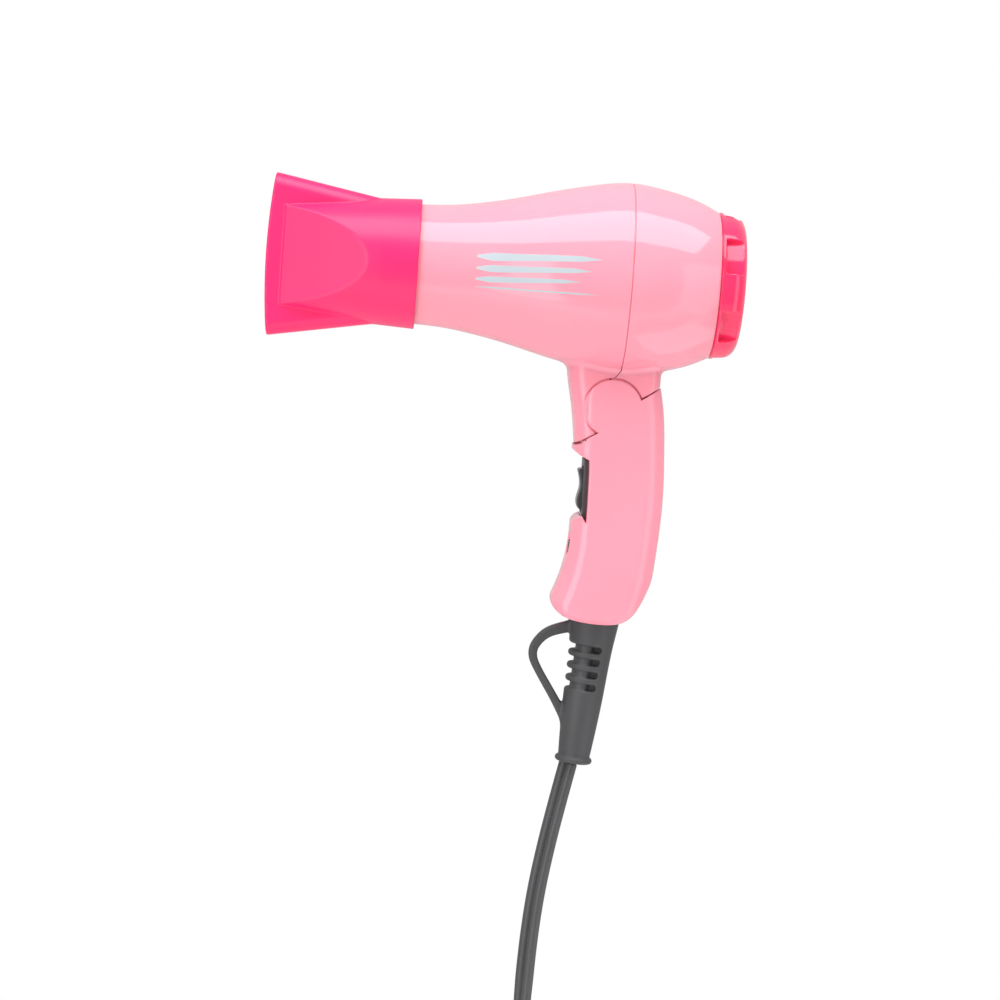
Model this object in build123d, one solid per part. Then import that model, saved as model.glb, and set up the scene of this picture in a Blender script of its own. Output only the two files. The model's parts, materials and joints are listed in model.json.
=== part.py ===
from build123d import *
from math import cos, pi, radians, sin, tan
import os

# Compact folding hair dryer. Millimetres. Sizes are drawn from the barrel: X runs along the
# barrel's axis from the seam between its two casings, + towards the intake, Z is up and the
# casting plane of the handle is Y = 0. keep() moves each piece to the grip, the row's origin.

GRIP_X = 4.0            # grip point in the handle, seen from the barrel's seam centre
GRIP_Z = -100.0

# barrel
WALL = 2.0
SEAM_R = 38.3           # largest radius, at the seam
NOSE_X = -97.0
NOSE_R = 23.5
TAIL_X = 35.2
TAIL_R = 29.1
SEAM_GAP = 0.35
LIP_R = 35.9            # rear casing's lip inside the front casing
SHELL_SCREWS = [(33.9 * cos(radians(a)), 33.9 * sin(radians(a))) for a in (30, 150, 325, 215)]

# neck and fold hinge
HINGE_X = -2.0
HINGE_Z = -51.4
EAR_R = 11.4
TONGUE_R = 11.0
NECK_HALF = 12.4
CHEEK_IN = 12.6
HALF_WIDTH = 14.3
SPIGOT_R = 7.0
SWEEP_R = 21.2          # the neck's claw turns inside this radius
NECK_WALL = 2.2

# handle
HANDLE_WALL = 2.0
NOTCH_X = -10.0         # flat for the rocker's bezel
NOTCH_TOP = -72.9
NOTCH_BOTTOM = -98.3
SCREW_SPOTS = [(14.0, -79.0), (11.5, -113.0), (-12.0, -124.5)]

# boot and cord
BOOT_X = -2.0
BOOT_Z = -136.5
BOOT_TILT = 4.5
GROOVES = 4             # flex grooves: centre of the first below the boot's top, then the pitch
GROOVE_TOP = -12.6
GROOVE_PITCH = 5.15
GROOVE_TALL = 3.2
GROOVE_CORE = 5.1
CORD_WIDTH = 8.2
CORD_THICK = 4.3
CORD_SOLID_R = 0.7 * CORD_THICK     # round solid of the flat cord's mean size
HANK_X = 5.0
HANK_Z = -384.0
HANK_RUN = 77.0
HANK_IN = 22.6
HANK_OUT = 36.6
HANK_HALF = 13.4
ENTRY_X = HANK_X - 25.0
EXIT_X = HANK_X - 29.6
PLUG_Z = -470.0         # top of the plug's strain relief

# nozzle
COLLAR_R = 25.9
COLLAR_END_R = 25.2
COLLAR_X = -83.2
BODY_X = -98.0
FACE_X = -137.0
FACE_R = 21.6
LIP_X = -143.6
LIP_HALF = 32.4
SLAB_HALF = 8.9
NOZZLE_WALL = 1.8

# rear cap
CAP_X = 35.6
CAP_END = 47.5
POCKETS = 6

# motor and fan
SHAFT_R = 1.15
FAN_R = 28.8
DUCT_IN = 29.8
DUCT_OUT = 31.2


# ---- small helpers -------------------------------------------------------------------------

def keep(name, *solids):
    """Writes one node, moved so that the grip point is the origin."""
    moved = [Pos(-GRIP_X, 0, -GRIP_Z) * s for s in solids]
    shape = moved[0] if len(moved) == 1 else Compound(children=moved)
    export_step(shape, "parts/" + name + ".step")


def spin(points):
    """Turns an outline of (x, radius) points about the barrel's axis."""
    outline = [(x, 0, r) for x, r in points]
    return revolve(make_face(Polyline(*outline, close=True)), Axis.X, 360)


def spin_edges(edges):
    return revolve(make_face(edges), Axis.X, 360)


def rod_x(radius, x0, x1, y=0.0, z=0.0):
    return Pos((x0 + x1) / 2, y, z) * Rot(0, 90, 0) * Cylinder(radius, abs(x1 - x0))


def rod_y(radius, y0, y1, x, z):
    return Pos(x, (y0 + y1) / 2, z) * Rot(90, 0, 0) * Cylinder(radius, abs(y1 - y0))


def rod_z(radius, z0, z1, x, y=0.0):
    return Pos(x, y, (z0 + z1) / 2) * Cylinder(radius, abs(z1 - z0))


def block(x0, x1, y0, y1, z0, z1):
    return Pos((x0 + x1) / 2, (y0 + y1) / 2, (z0 + z1) / 2) * Box(x1 - x0, y1 - y0, z1 - z0)


def slab(points, half, y=0.0):
    """A plate with an outline of (x, z) points, half its thickness each side of y."""
    face = make_face(Polyline(*[(x, 0, z) for x, z in points], close=True))
    return Pos(0, y, 0) * extrude(face, half, dir=(0, 1, 0), both=True)


def long_edges(shape, test):
    return [e for e in shape.edges() if test(e.center())]


# ---- barrel casings ------------------------------------------------------------------------

def barrel_curve(inset):
    """The barrel's side from nose to tail, moved in by the wall."""
    side = [(NOSE_X, NOSE_R), (-83, 23.9), (-72, 24.5), (-60, 26.2), (-46, 29.1), (-32, 32.7),
            (-17, 36.1), (-6, 38.0), (0, SEAM_R), (10, 37.2), (20, 35.1), (29, 32.1), (TAIL_X, TAIL_R)]
    return Spline(*[(x, 0, r - inset) for x, r in side], tangents=[(1, 0, 0.02), (1, 0, -0.52)])


def barrel_block(inset):
    side = barrel_curve(inset)
    start = side @ 0
    end = side @ 1
    return spin_edges([side, Polyline(end, (TAIL_X, 0, 0), (NOSE_X, 0, 0), start)])


def neck_outline(inset):
    """Neck and claw in side view."""
    front = Spline((-21.2 + inset, 0, -22), (-20.4 + inset, 0, -40), (-18.2 + inset, 0, -51),
                   (-15.9 + inset, 0, -66.5 + inset))
    tip = (-15.9 + inset, 0, -66.5 + inset)
    rest = Polyline(tip, (-6.8, 0, -61.2 + inset), (-2, 0, -61), (8.6, 0, -47.2 + inset),
                    (16.4 - inset, 0, -41.9 + inset), (16.4 - inset, 0, -22), (-21.2 + inset, 0, -22))
    return make_face([front, rest])


def neck_block():
    neck = extrude(neck_outline(0), NECK_HALF, dir=(0, 1, 0), both=True)
    corners = long_edges(neck, lambda c: abs(c.Y) > NECK_HALF - 0.1 and c.Z > -60 and
                         (c.X < -16 or c.X > 16))
    return fillet(corners, 5.5)


def casing_block():
    """Barrel and neck in one, blended where they meet."""
    whole = barrel_block(0) + neck_block()
    joint = [e for e in whole.edges() if -39 < e.center().Z < -32 and abs(e.center().Y) < NECK_HALF + 0.6
             and -23 < e.center().X < 18 and e.geom_type != GeomType.LINE]
    whole = fillet(joint, 3.6)
    tongue = rod_y(TONGUE_R, -NECK_HALF, NECK_HALF, HINGE_X, HINGE_Z)
    return whole + tongue


def casing_hollow():
    """Air path, neck wire way and the hinge's bores."""
    air = barrel_block(WALL)
    neck = extrude(neck_outline(NECK_WALL), NECK_HALF - NECK_WALL, dir=(0, 1, 0), both=True)
    drum = rod_y(TONGUE_R - NECK_WALL, -NECK_HALF + NECK_WALL, NECK_HALF - NECK_WALL, HINGE_X, HINGE_Z)
    bores = rod_y(SPIGOT_R + 0.06, -20, 20, HINGE_X, HINGE_Z)
    wire_way = block(HINGE_X + 1, HINGE_X + 9, -6, 6, HINGE_Z - 14, HINGE_Z)
    return [air, neck, drum, bores, wire_way]


def hinge_rings():
    """Bearing rings inside the tongue's side walls."""
    rings = []
    for side in (-1, 1):
        outer = rod_y(9.4, side * 6.5, side * (NECK_HALF - NECK_WALL), HINGE_X, HINGE_Z)
        rings.append(outer - rod_y(SPIGOT_R + 0.06, -20, 20, HINGE_X, HINGE_Z))
    return rings


def seam_side(front):
    """The space on one side of the casing seam, which steps forward at the hinge."""
    gap = -SEAM_GAP / 2 if front else SEAM_GAP / 2
    far = -160 if front else 80
    return slab([(gap, 60), (gap, -35.6), (HINGE_X + gap, -40.0), (HINGE_X + gap, -90), (far, -90),
                 (far, 60)], 60)


def casing():
    body = casing_block()
    for hollow in casing_hollow():
        body = body - hollow
    for ring in hinge_rings():
        body = body + ring
    return body


def front_shell(body):
    shell = body & seam_side(True)
    for y, z in SHELL_SCREWS:
        shell = shell + (rod_x(2.5, -12, -3.2, y, z) & barrel_block(WALL - 0.3))
    for y, z in SHELL_SCREWS:
        shell = shell - rod_x(0.85, -10.5, 0, y, z)
    return shell


def rear_shell(body):
    shell = body & seam_side(False)
    lip = spin([(-3.0, LIP_R), (2.0, LIP_R), (2.0, SEAM_R - WALL + 0.1), (6.0, SEAM_R - WALL),
                (6.0, 34.4), (-3.0, 34.4)])
    lip = lip - block(-30, 30, -NECK_HALF - 1, NECK_HALF + 1, -60, -20)
    shell = shell + lip
    back_wall = spin([(29.0, 31.6), (31.5, 30.4), (31.5, 23.6), (29.0, 23.6)])
    collar = spin([(30.0, 27.3), (TAIL_X, 27.3), (TAIL_X, 25.6), (30.0, 25.6)])
    shell = shell + (back_wall & barrel_block(0.5)) + (collar & barrel_block(0.5))
    for y, z in SHELL_SCREWS:
        shell = shell + (rod_x(2.5, -2.9, 4.0, y, z) & barrel_block(WALL + 0.45))
    for y, z in SHELL_SCREWS:
        shell = shell - rod_x(1.2, -4, 6, y, z) - rod_x(2.3, 4.0, 9.0, y, z)
    return shell


def shell_screws():
    """Four small screws that draw the two casings together from behind."""
    screws = []
    for y, z in SHELL_SCREWS:
        screws.append(rod_x(2.0, 4.0, 5.3, y, z) + rod_x(0.85, -10.0, 4.1, y, z))
    return screws


# ---- handle --------------------------------------------------------------------------------

# height, front x, back x, half width, front corner, back corner
HANDLE_RINGS = [(-36, -16.4, 15.4, 14.3, 6.6, 8.6),
                (-50, -16.4, 18.5, 14.3, 6.6, 8.6),
                (-68, -16.5, 20.3, 14.3, 6.6, 8.8),
                (-84, -15.6, 21.1, 14.3, 6.4, 9.0),
                (-100, -15.4, 20.7, 14.5, 6.6, 9.2),
                (-112, -16.7, 19.8, 14.9, 7.4, 9.4),
                (-122, -18.9, 18.6, 15.1, 8.2, 9.4),
                (-130, -21.1, 16.6, 15.0, 8.6, 9.4),
                (-141, -24.4, 13.2, 14.6, 8.6, 9.4)]


def handle_ring(z, front, back, half, front_r, back_r, inset):
    with BuildSketch(Plane.XY.offset(z)) as ring:
        with BuildLine():
            Polyline((front + inset, -half + inset), (back - inset, -half + inset),
                     (back - inset, half - inset), (front + inset, half - inset), close=True)
        make_face()
        fillet(ring.vertices().filter_by_position(Axis.X, -60, -5), front_r - inset)
        fillet(ring.vertices().filter_by_position(Axis.X, back - inset - 0.1, 60), back_r - inset)
    return ring.sketch


def handle_base_outline(inset):
    """Side outline of the handle's lower end, from the belly round to the back."""
    base = [(-21.2 + inset, 0, -129.6), (-19.6 + inset * 0.6, 0, -133.2 + inset), (-13.5, 0, -136.6 + inset),
            (-6, 0, -138.0 + inset), (2, 0, -138.2 + inset), (9.5, 0, -136.3 + inset),
            (14.4 - inset * 0.5, 0, -131.5 + inset * 0.7), (17.6 - inset, 0, -125.4)]
    low = Spline(*base)
    rest = Polyline(base[-1], (40, 0, -118), (40, 0, -20), (-40, 0, -20), (-40, 0, -124), base[0])
    return make_face([low, rest])


def handle_block(inset):
    rings = [handle_ring(*ring, inset) for ring in HANDLE_RINGS]
    solid = loft(rings)
    base = extrude(handle_base_outline(inset), 30, dir=(0, 1, 0), both=True)
    return solid & base


def below_neck():
    """The space under the parting line between neck and handle, without the ears."""
    return slab([(-40, -82), (-15.8, -67.1), (-6.8, -61.6), (-2, -61), (9.0, -47.6),
                 (17.4, -42.0), (40, -34), (40, -160), (-40, -160)], 30)


def handle_body():
    body = handle_block(0) & below_neck()
    body = body - handle_block(HANDLE_WALL)
    body = body + rod_y(EAR_R, -HALF_WIDTH, HALF_WIDTH, HINGE_X, HINGE_Z)
    body = body - rod_y(SWEEP_R, -CHEEK_IN, CHEEK_IN, HINGE_X, HINGE_Z)
    return body


def handle_front_cuts(body):
    """Flat for the rocker's bezel, its window, and the slide switch's recess."""
    notch = slab([(-40, NOTCH_TOP), (NOTCH_X - 4.6, NOTCH_TOP + 1.7), (NOTCH_X, NOTCH_TOP),
                  (NOTCH_X, NOTCH_BOTTOM), (NOTCH_X - 5.2, NOTCH_BOTTOM + 0.8), (-40, NOTCH_BOTTOM)], 30)
    floor = block(NOTCH_X, NOTCH_X + 2, -11.5, 11.5, NOTCH_BOTTOM - 1.5, NOTCH_TOP + 1.5) & handle_block(0)
    shelf_low = slab([(-15.2, -97.4), (NOTCH_X + 2, NOTCH_BOTTOM), (NOTCH_X + 2, NOTCH_BOTTOM - 2),
                      (-14.4, -99.6)], 9.5)
    body = (body - notch) + floor
    body = body + (shelf_low & handle_block(0.3) - notch)
    window = block(NOTCH_X - 5, NOTCH_X + 4, -7.2, 7.2, -95.6, -75.4)
    recess = rod_y(9.0, -8, 8, -23.8, -106.2)
    slot = block(-20, -10, -2.3, 2.3, -111.8, -101.8)
    return body - window - recess - slot


def handle_shell(side, whole, core):
    """One half of the handle: side -1 is the plain left half, +1 the screwed right half."""
    body = whole & block(-60, 60, min(0, side * 40), max(0, side * 40), -160, 0)
    for x, z in SCREW_SPOTS:
        body = body + (rod_y(3.3, 0, side * 14.2, x, z) & core)
    spigot = rod_y(SPIGOT_R, side * 6.6, side * (CHEEK_IN + 0.2), HINGE_X, HINGE_Z)
    body = body + (spigot - rod_y(4.0, -CHEEK_IN, CHEEK_IN, HINGE_X, HINGE_Z))
    for x, z in SCREW_SPOTS:
        if side > 0:
            body = body - rod_y(1.55, -1, 16, x, z) - rod_y(3.0, 6.0, 20, x, z)
        else:
            body = body - rod_y(1.1, -10, 1, x, z)
    return body - boot_passage()


# ---- cable boot ----------------------------------------------------------------------------

def at_boot(shape):
    """Places a piece drawn downwards from the boot's own top centre."""
    return Pos(BOOT_X, 0, BOOT_Z) * Rot(0, BOOT_TILT, 0) * shape


def turned_z(points):
    outline = [(r, 0, z) for r, z in points]
    return revolve(make_face(Polyline(*outline, close=True)), Axis.Z, 360)


def boot_passage():
    """Opening and groove that hold the boot in the handle's lower end, 0.3 clear of the boot."""
    return at_boot(turned_z([(0, -6), (8.2, -6), (8.2, 2.0), (10.6, 2.0), (10.6, 5.4), (0, 5.4)]))


def flex_groove(depth):
    """One transverse groove, open towards the front of the boot."""
    ring = Cylinder(20, GROOVE_TALL) - Cylinder(depth, GROOVE_TALL + 2)
    return ring & Pos(-20 + 3.8, 0, 0) * Box(40, 40, GROOVE_TALL + 2)


def cord_boot():
    side = Spline((10.05, 0, 0), (9.15, 0, -9), (8.1, 0, -31), (7.5, 0, -42.5), (6.4, 0, -57.2))
    cone = revolve(make_face([side, Line((6.4, 0, -57.2), (0, 0, -57.2)), Line((0, 0, -57.2), (0, 0, 0)),
                              Line((0, 0, 0), (10.05, 0, 0))]), Axis.Z, 360)
    cone = cone + Pos(0, 0, 1.0) * Cylinder(10.05, 6)
    for k in range(GROOVES):
        cone = cone - Pos(0, 0, GROOVE_TOP - GROOVE_PITCH * k) * flex_groove(GROOVE_CORE)
    cone = cone + Pos(0, 0, -58.2) * fillet(Cylinder(7.45, 2.6).edges(), 1.2)
    boot = at_boot(cone) - handle_block(-0.3)
    plug_in = at_boot(turned_z([(0, -3), (7.9, -3), (7.9, 2.3), (10.3, 2.3), (10.3, 5.1), (0, 5.1)]))
    boot = boot + plug_in
    bore = at_boot(Pos(0, 0, -28) * Box(5.0, 8.8, 80))
    return (boot - bore) + hang_loop()


def hang_loop():
    """The hanging eye moulded on the boot's front."""
    path = Spline((-9.5, 0, -138.8), (-16.2, 0, -142.0), (-22.6, 0, -144.9), (-26.2, 0, -151.9),
                  (-24.3, 0, -157.3), (-19.3, 0, -165.2), (-14.2, 0, -173.4), (-11.4, 0, -178.6))
    strand = Plane(origin=path @ 0, z_dir=path % 0) * RectangleRounded(4.4, 3.7, 1.5)
    return sweep(strand, path)


# ---- switches ------------------------------------------------------------------------------

def rocker_housing():
    bezel = block(NOTCH_X - 1.6, NOTCH_X - 0.02, -8.6, 8.6, NOTCH_BOTTOM + 0.5, NOTCH_TOP - 0.4)
    bezel = fillet(long_edges(bezel, lambda c: abs(c.Y) > 8.5 and abs(c.X - NOTCH_X + 0.8) < 0.1), 1.5)
    case = block(NOTCH_X - 0.1, 3.0, -7.0, 7.0, -95.4, -75.6)
    well = block(NOTCH_X - 3, -3.0, -5.2, 5.2, -94.2, -76.0)
    return (bezel + case) - well


def rocker_button():
    side = Spline((-13.8, 0, -76.6), (-12.9, 0, -80.0), (-12.4, 0, -84.6), (-13.2, 0, -90.2), (-12.6, 0, -92.6))
    rest = Polyline((-12.6, 0, -92.6), (-11.0, 0, -93.5), (-7.4, 0, -91.6), (-5.6, 0, -85.2),
                    (-7.4, 0, -78.8), (-11.2, 0, -76.7), (-13.8, 0, -76.6))
    return extrude(make_face([side, rest]), 4.9, dir=(0, 1, 0), both=True)


def slide_housing():
    case = block(-12.6, -6.5, -4.6, 4.6, -113.0, -100.4)
    return case - block(-13.5, -10.0, -1.9, 1.9, -111.2, -102.4)


def slide_knob():
    stem = block(-13.4, -10.3, -1.6, 1.6, -110.6, -106.6)
    cap = slab([(-16.7, -110.6), (-16.2, -111.3), (-13.2, -111.3), (-13.2, -105.9), (-15.0, -105.9),
                (-15.5, -106.5), (-15.3, -108.2)], 2.0)
    return stem + cap


# ---- nozzle --------------------------------------------------------------------------------

def wedge(x0, half0, x1, half1, inset):
    """The space between two planes that close in towards the mouth."""
    slope = (half0 - half1) / (x0 - x1)
    near = -70
    far = -160
    a = half0 - inset + slope * (near - x0)
    b = half0 - inset + slope * (far - x0)
    face = make_face(Polyline((near, -a, 0), (near, a, 0), (far, b, 0), (far, -b, 0), close=True))
    return extrude(face, 60, both=True)


def nozzle_body(inset, x_open):
    cone = spin([(x_open, COLLAR_R - inset), (BODY_X, COLLAR_END_R - inset),
                 (FACE_X + inset * 0.4, FACE_R - inset), (FACE_X + inset * 0.4, 0), (x_open, 0)])
    return cone & wedge(-101.4, 25.6, FACE_X, SLAB_HALF + 0.4, inset)


def nozzle_slab(inset, mouth):
    """The flat fan that spreads the air, open at its curved lip."""
    back = 24.8 - inset
    tip = LIP_HALF - inset
    end = LIP_X + 2.0 - mouth
    lip = ThreePointArc((end, 0, tip), (LIP_X - mouth, 0, 0), (end, 0, -tip))
    rest = Polyline((end, 0, -tip), (-98.5, 0, -back), (-98.5, 0, back), (end, 0, tip))
    fan = extrude(make_face([lip, rest]), SLAB_HALF - inset, dir=(0, 1, 0), both=True)
    sides = long_edges(fan, lambda c: abs(c.Y) > SLAB_HALF - inset - 0.1 and abs(c.Z) > 20)
    return fillet(sides, 6.0 - inset)


def nozzle():
    outer = nozzle_body(0, COLLAR_X) + nozzle_slab(0, 0)
    bore = rod_x(24.08, BODY_X, COLLAR_X + 1)
    inner = nozzle_body(NOZZLE_WALL + 0.1, BODY_X + 0.5) + nozzle_slab(NOZZLE_WALL, 2.0)
    return outer - inner - bore


# ---- rear cap ------------------------------------------------------------------------------

def cap_profile(pocket):
    """Side of the cap from rim to rear face; the finger pockets follow the lower one."""
    if pocket:
        return [(CAP_X + 1.3, 28.7), (38.8, 28.2), (41.2, 27.3), (43.2, 25.9), (45.0, 23.4),
                (46.0, 20.6), (CAP_END, 17.5)]
    return [(CAP_X, 29.3), (39.5, 29.2), (43.0, 28.6), (45.0, 27.2), (46.2, 25.0), (46.9, 22.0),
            (CAP_END, 16.0)]


def cap_block(pocket):
    side = [(x, 0, r) for x, r in cap_profile(pocket)]
    start = side[0]
    end = side[-1]
    rest = Polyline(end, (CAP_END + 0.4, 0, 0), (start[0], 0, 0), start)
    return spin_edges([Spline(*side), rest])


def sector(angle, width, x0, x1, reach=60):
    """A slice of space about the barrel's axis, centred on an angle up from the -Y side."""
    half = radians(width / 2)
    mid = radians(angle)
    corners = [(0, 0)] + [(-reach * cos(mid + s * half), reach * sin(mid + s * half)) for s in (-1, 0, 1)]
    face = make_face(Polyline(*[(x0, y, z) for y, z in corners], close=True))
    return extrude(face, x1 - x0, dir=(1, 0, 0))


def rear_cap():
    cap = cap_block(False)
    floor = cap_block(True)
    for k in range(POCKETS):
        cap = cap - (sector(25 + 60 * k, 30, CAP_X + 1.3, 60) - floor)
    cap = cap - spin([(CAP_X - 1, 27.0), (40.5, 26.6), (43.0, 24.0), (44.8, 19.0), (45.6, 0), (CAP_X - 1, 0)])
    spigot = spin([(32.0, 25.35), (CAP_X + 3, 25.35), (CAP_X + 3, 23.9), (32.0, 23.9)])
    bridge = spin([(CAP_X + 1.8, 27.6), (CAP_X + 3.6, 27.6), (CAP_X + 3.6, 24.0), (CAP_X + 1.8, 24.0)])
    cap = cap + spigot + bridge
    return cap - air_slots()


def air_slots():
    """Three rings of slots through the rear face."""
    slots = None
    for inner, outer, count in [(4.0, 8.6, 6), (10.0, 14.6, 12), (16.0, 20.4, 18)]:
        ring = rod_x(outer, 43, 52) - rod_x(inner, 43, 52)
        for k in range(count):
            rib = Rot(360 / count * (k + 0.5), 0, 0) * block(42, 53, -0.9, 0.9, 0, 40)
            ring = ring - rib
        slots = ring if slots is None else slots + ring
    return slots


def filter_mesh():
    rim = spin([(41.6, 22.6), (42.6, 22.6), (42.6, 20.6), (41.6, 20.6)])
    return rim + rod_x(20.8, 41.9, 42.3)


def filter_frame():
    """Spoked ring that holds the mesh in the cap's spigot."""
    frame = spin([(36.0, 23.7), (41.4, 23.7), (41.4, 22.0), (36.0, 22.0)])
    for k in range(3):
        frame = frame + Rot(60 * k, 0, 0) * block(40.0, 41.4, -0.8, 0.8, -22.5, 22.5)
    return frame + rod_x(3.0, 40.0, 41.4)


# ---- motor, fan and air duct ---------------------------------------------------------------

def fan_duct():
    tube = spin([(-18, DUCT_OUT), (20, DUCT_OUT), (20, DUCT_IN), (-18, DUCT_IN)])
    hub = rod_x(15.0, -20, -3) - rod_x(13.55, -21, -2)
    duct = tube + hub
    for k in range(7):
        vane = Rot(360 / 7 * k, 0, 0) * block(-17, -5, -0.7, 0.7, 14.6, DUCT_IN + 0.5)
        duct = duct + vane
    rim = spin([(18.0, 32.7), (20.0, 32.4), (20.0, 30.5), (18.0, 30.5)])
    wire_gap = block(-19, -7, -5.5, 5.5, -33, -28)
    return duct + rim - wire_gap


def motor_can():
    can = rod_x(13.5, -22, -1.2) - rod_x(12.4, -22.5, -2.6)
    nose = rod_x(5.0, -1.3, 0.6)
    return can + nose - rod_x(SHAFT_R + 0.05, -5, 2)


def motor_magnets():
    ring = rod_x(12.35, -19, -5) - rod_x(10.6, -20, -4)
    gap = block(-21, -3, -20, 20, -3.2, 3.2)
    return (ring - gap).solids()


def motor_armature():
    core = rod_x(10.0, -17, -7)
    for k in range(5):
        slot = Rot(72 * k, 0, 0) * (block(-18, -6, -0.8, 0.8, 6, 11) + rod_x(2.0, -18, -6, 0, 6.6))
        core = core - slot
    commutator = rod_x(3.2, -20.6, -17)
    return core + commutator - rod_x(SHAFT_R, -25, 0)


def motor_end_cap():
    cap = rod_x(13.5, -24.5, -22.02) - rod_x(SHAFT_R + 0.05, -26, -20)
    brushes = block(-22.1, -20.8, -1.4, 1.4, 4.0, 8.0) + block(-22.1, -20.8, -1.4, 1.4, -8.0, -4.0)
    return cap + brushes


def motor_shaft():
    return rod_x(SHAFT_R, -24.0, 14.5)


def fan_impeller():
    """Seven pitched blades on a domed hub."""
    hub = rod_x(9.0, 3.0, 14.0) - rod_x(7.6, 2.0, 12.2) + rod_x(2.6, 3.4, 13.0)
    fan = hub
    for k in range(7):
        blade = Pos(8.5, 0, 18.6) * Rot(0, 0, 38) * Box(14.5, 1.3, 20.6)
        fan = fan + Rot(360 / 7 * k, 0, 0) * blade
    fan = fan & rod_x(FAN_R, 2.6, 14.4)
    return fan - rod_x(SHAFT_R, 0, 16)


def rectifier_board():
    board = rod_x(12.0, -27.0, -25.5) - rod_x(1.8, -28, -25)
    for y, z in [(5, 5), (-5, 5), (5, -5), (-5, -5)]:
        board = board + Pos(-28.2, y, z) * Rot(90, 0, 0) * Cylinder(1.3, 5.0)
    return board


# ---- heater and outlet ---------------------------------------------------------------------

def mica_tube():
    return spin([(-90, 20.8), (-34, 20.8), (-34, 20.3), (-90, 20.3)])


def mica_board(upright):
    """One of two crossed boards: the level one is in two halves, each side of the upright one."""
    size = 15.6
    if upright:
        board = block(-88, -36, -0.5, 0.5, -size, size)
        return board - block(-89, -62, -0.52, 0.52, -0.52, 0.52)
    board = block(-88, -36, -size, size, -0.5, 0.5)
    return board - block(-89, -35, -0.54, 0.54, -0.6, 0.6)


def heater_coil():
    """Resistance wire wound round the boards, ten turns with links."""
    wire = None
    for k in range(10):
        x = -84 + 4.8 * k
        turn = rod_x(17.2, x - 0.5, x + 0.5) - rod_x(16.2, x - 1, x + 1)
        if k < 9:
            a = radians(200 + 35 * k)
            turn = turn + rod_x(0.45, x, x + 4.8, 16.7 * cos(a), 16.7 * sin(a))
        wire = turn if wire is None else wire + turn
    return wire


def thermostat():
    base = block(-35.8, -33.6, -4.2, 4.2, -7.0, 7.0)
    disc = rod_x(3.6, -33.7, -31.6, 0, 1.0)
    return base + disc


def heater_frame():
    """Ring that carries the heater's boards and tube inside the front casing."""
    ring = spin([(-32.5, 30.0), (-30.5, 30.4), (-30.5, 26.2), (-32.5, 26.2)])
    sleeve = spin([(-36.5, 22.2), (-30.5, 22.2), (-30.5, 21.0), (-36.5, 21.0)])
    frame = ring + sleeve
    for k in range(6):
        frame = frame + Rot(30 + 60 * k, 0, 0) * block(-32.5, -30.5, -1.4, 1.4, 21.6, 27.0)
    return frame


def outlet_grille():
    """Guard in the nose: rings on crossed bars."""
    guard = spin([(-96.0, 21.35), (-92.0, 21.35), (-92.0, 20.2), (-96.0, 20.2)])
    for radius in (15.2, 10.2, 5.2):
        guard = guard + (rod_x(radius, -95.6, -93.6) - rod_x(radius - 1.0, -97, -92))
    for k in range(3):
        guard = guard + Rot(60 * k, 0, 0) * block(-95.6, -93.6, -0.6, 0.6, -20.6, 20.6)
    return guard


# ---- inside the handle ---------------------------------------------------------------------

def handle_screws():
    screws = []
    for x, z in SCREW_SPOTS:
        screws.append(rod_y(2.7, 6.02, 7.8, x, z) + rod_y(1.1, -8.0, 6.1, x, z))
    return screws


def cable_clamp():
    bar = block(-7.5, 7.5, 2.9, 5.0, -120.5, -115.5)
    return bar - rod_y(1.05, 0, 8, -5.6, -118) - rod_y(1.05, 0, 8, 5.6, -118)


def clamp_base():
    base = block(-7.5, 7.5, -7.6, -2.9, -120.5, -115.5)
    posts = block(-7.5, -3.6, -3.0, 2.9, -120.5, -115.5) + block(3.6, 7.5, -3.0, 2.9, -120.5, -115.5)
    return base + posts - rod_y(1.05, -2, 8, -5.6, -118) - rod_y(1.05, -2, 8, 5.6, -118)


def clamp_screws():
    return [rod_y(2.0, 5.0, 6.4, x, -118) + rod_y(1.05, -1.9, 5.1, x, -118) for x in (-5.6, 5.6)]


def supply_wires():
    """Two insulated cores from the boot up to the switches."""
    wires = []
    for side in (-1, 1):
        path = Spline((-1.4, side * 1.35, -130.6), (-0.4, side * 1.4, -124), (0.4, side * 1.4, -113),
                      (0.6, side * 1.4, -104), (0.0, side * 2.6, -95.6), tangents=[(0.08, 0, 1), (0, 0, 1)])
        section = Plane(origin=path @ 0, z_dir=path % 0) * Circle(1.15)
        wires.append(sweep(section, path))
    return wires


def head_wires():
    """The same two cores above the hinge, from the neck to the motor's board."""
    wires = []
    for side in (-1, 1):
        path = Spline((3.0, side * 2.4, -55), (0.5, side * 2.4, -46), (-4, side * 3.0, -38),
                      (-11, side * 3.2, -31.4), (-21, side * 3.4, -26.6), (-28.6, side * 3.0, -19),
                      (-29.8, side * 3.0, -11.0))
        section = Plane(origin=path @ 0, z_dir=path % 0) * Circle(1.1)
        wires.append(sweep(section, path))
    return wires


def detent_spring():
    """Leaf whose bump drops into the tongue's notches at the ends of the fold."""
    leaf = slab([(11.0, -47.9), (12.4, -49.4), (13.2, -52.0), (12.6, -57.6), (12.0, -57.6), (12.4, -52.2),
                 (11.6, -50.0), (10.6, -48.4)], 3.0)
    foot = block(12.0, 17.4, -3.0, 3.0, -58.6, -57.4)
    return leaf + foot


# ---- cord and plug -------------------------------------------------------------------------

CORD_ROUTE = [(-8.5, 0, -196.4), (-11.6, 0, -212.0), (-15.2, 0, -232.0), (-18.0, 0, -252.0),
              (-19.4, 0, -272.0), (ENTRY_X, 0, -293.0), (ENTRY_X - 0.1, 0, HANK_Z + 64.0)]
TAIL_ROUTE = [(EXIT_X, 0, HANK_Z - 58.0), (EXIT_X - 0.1, 0, PLUG_Z - 4.0)]


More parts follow.
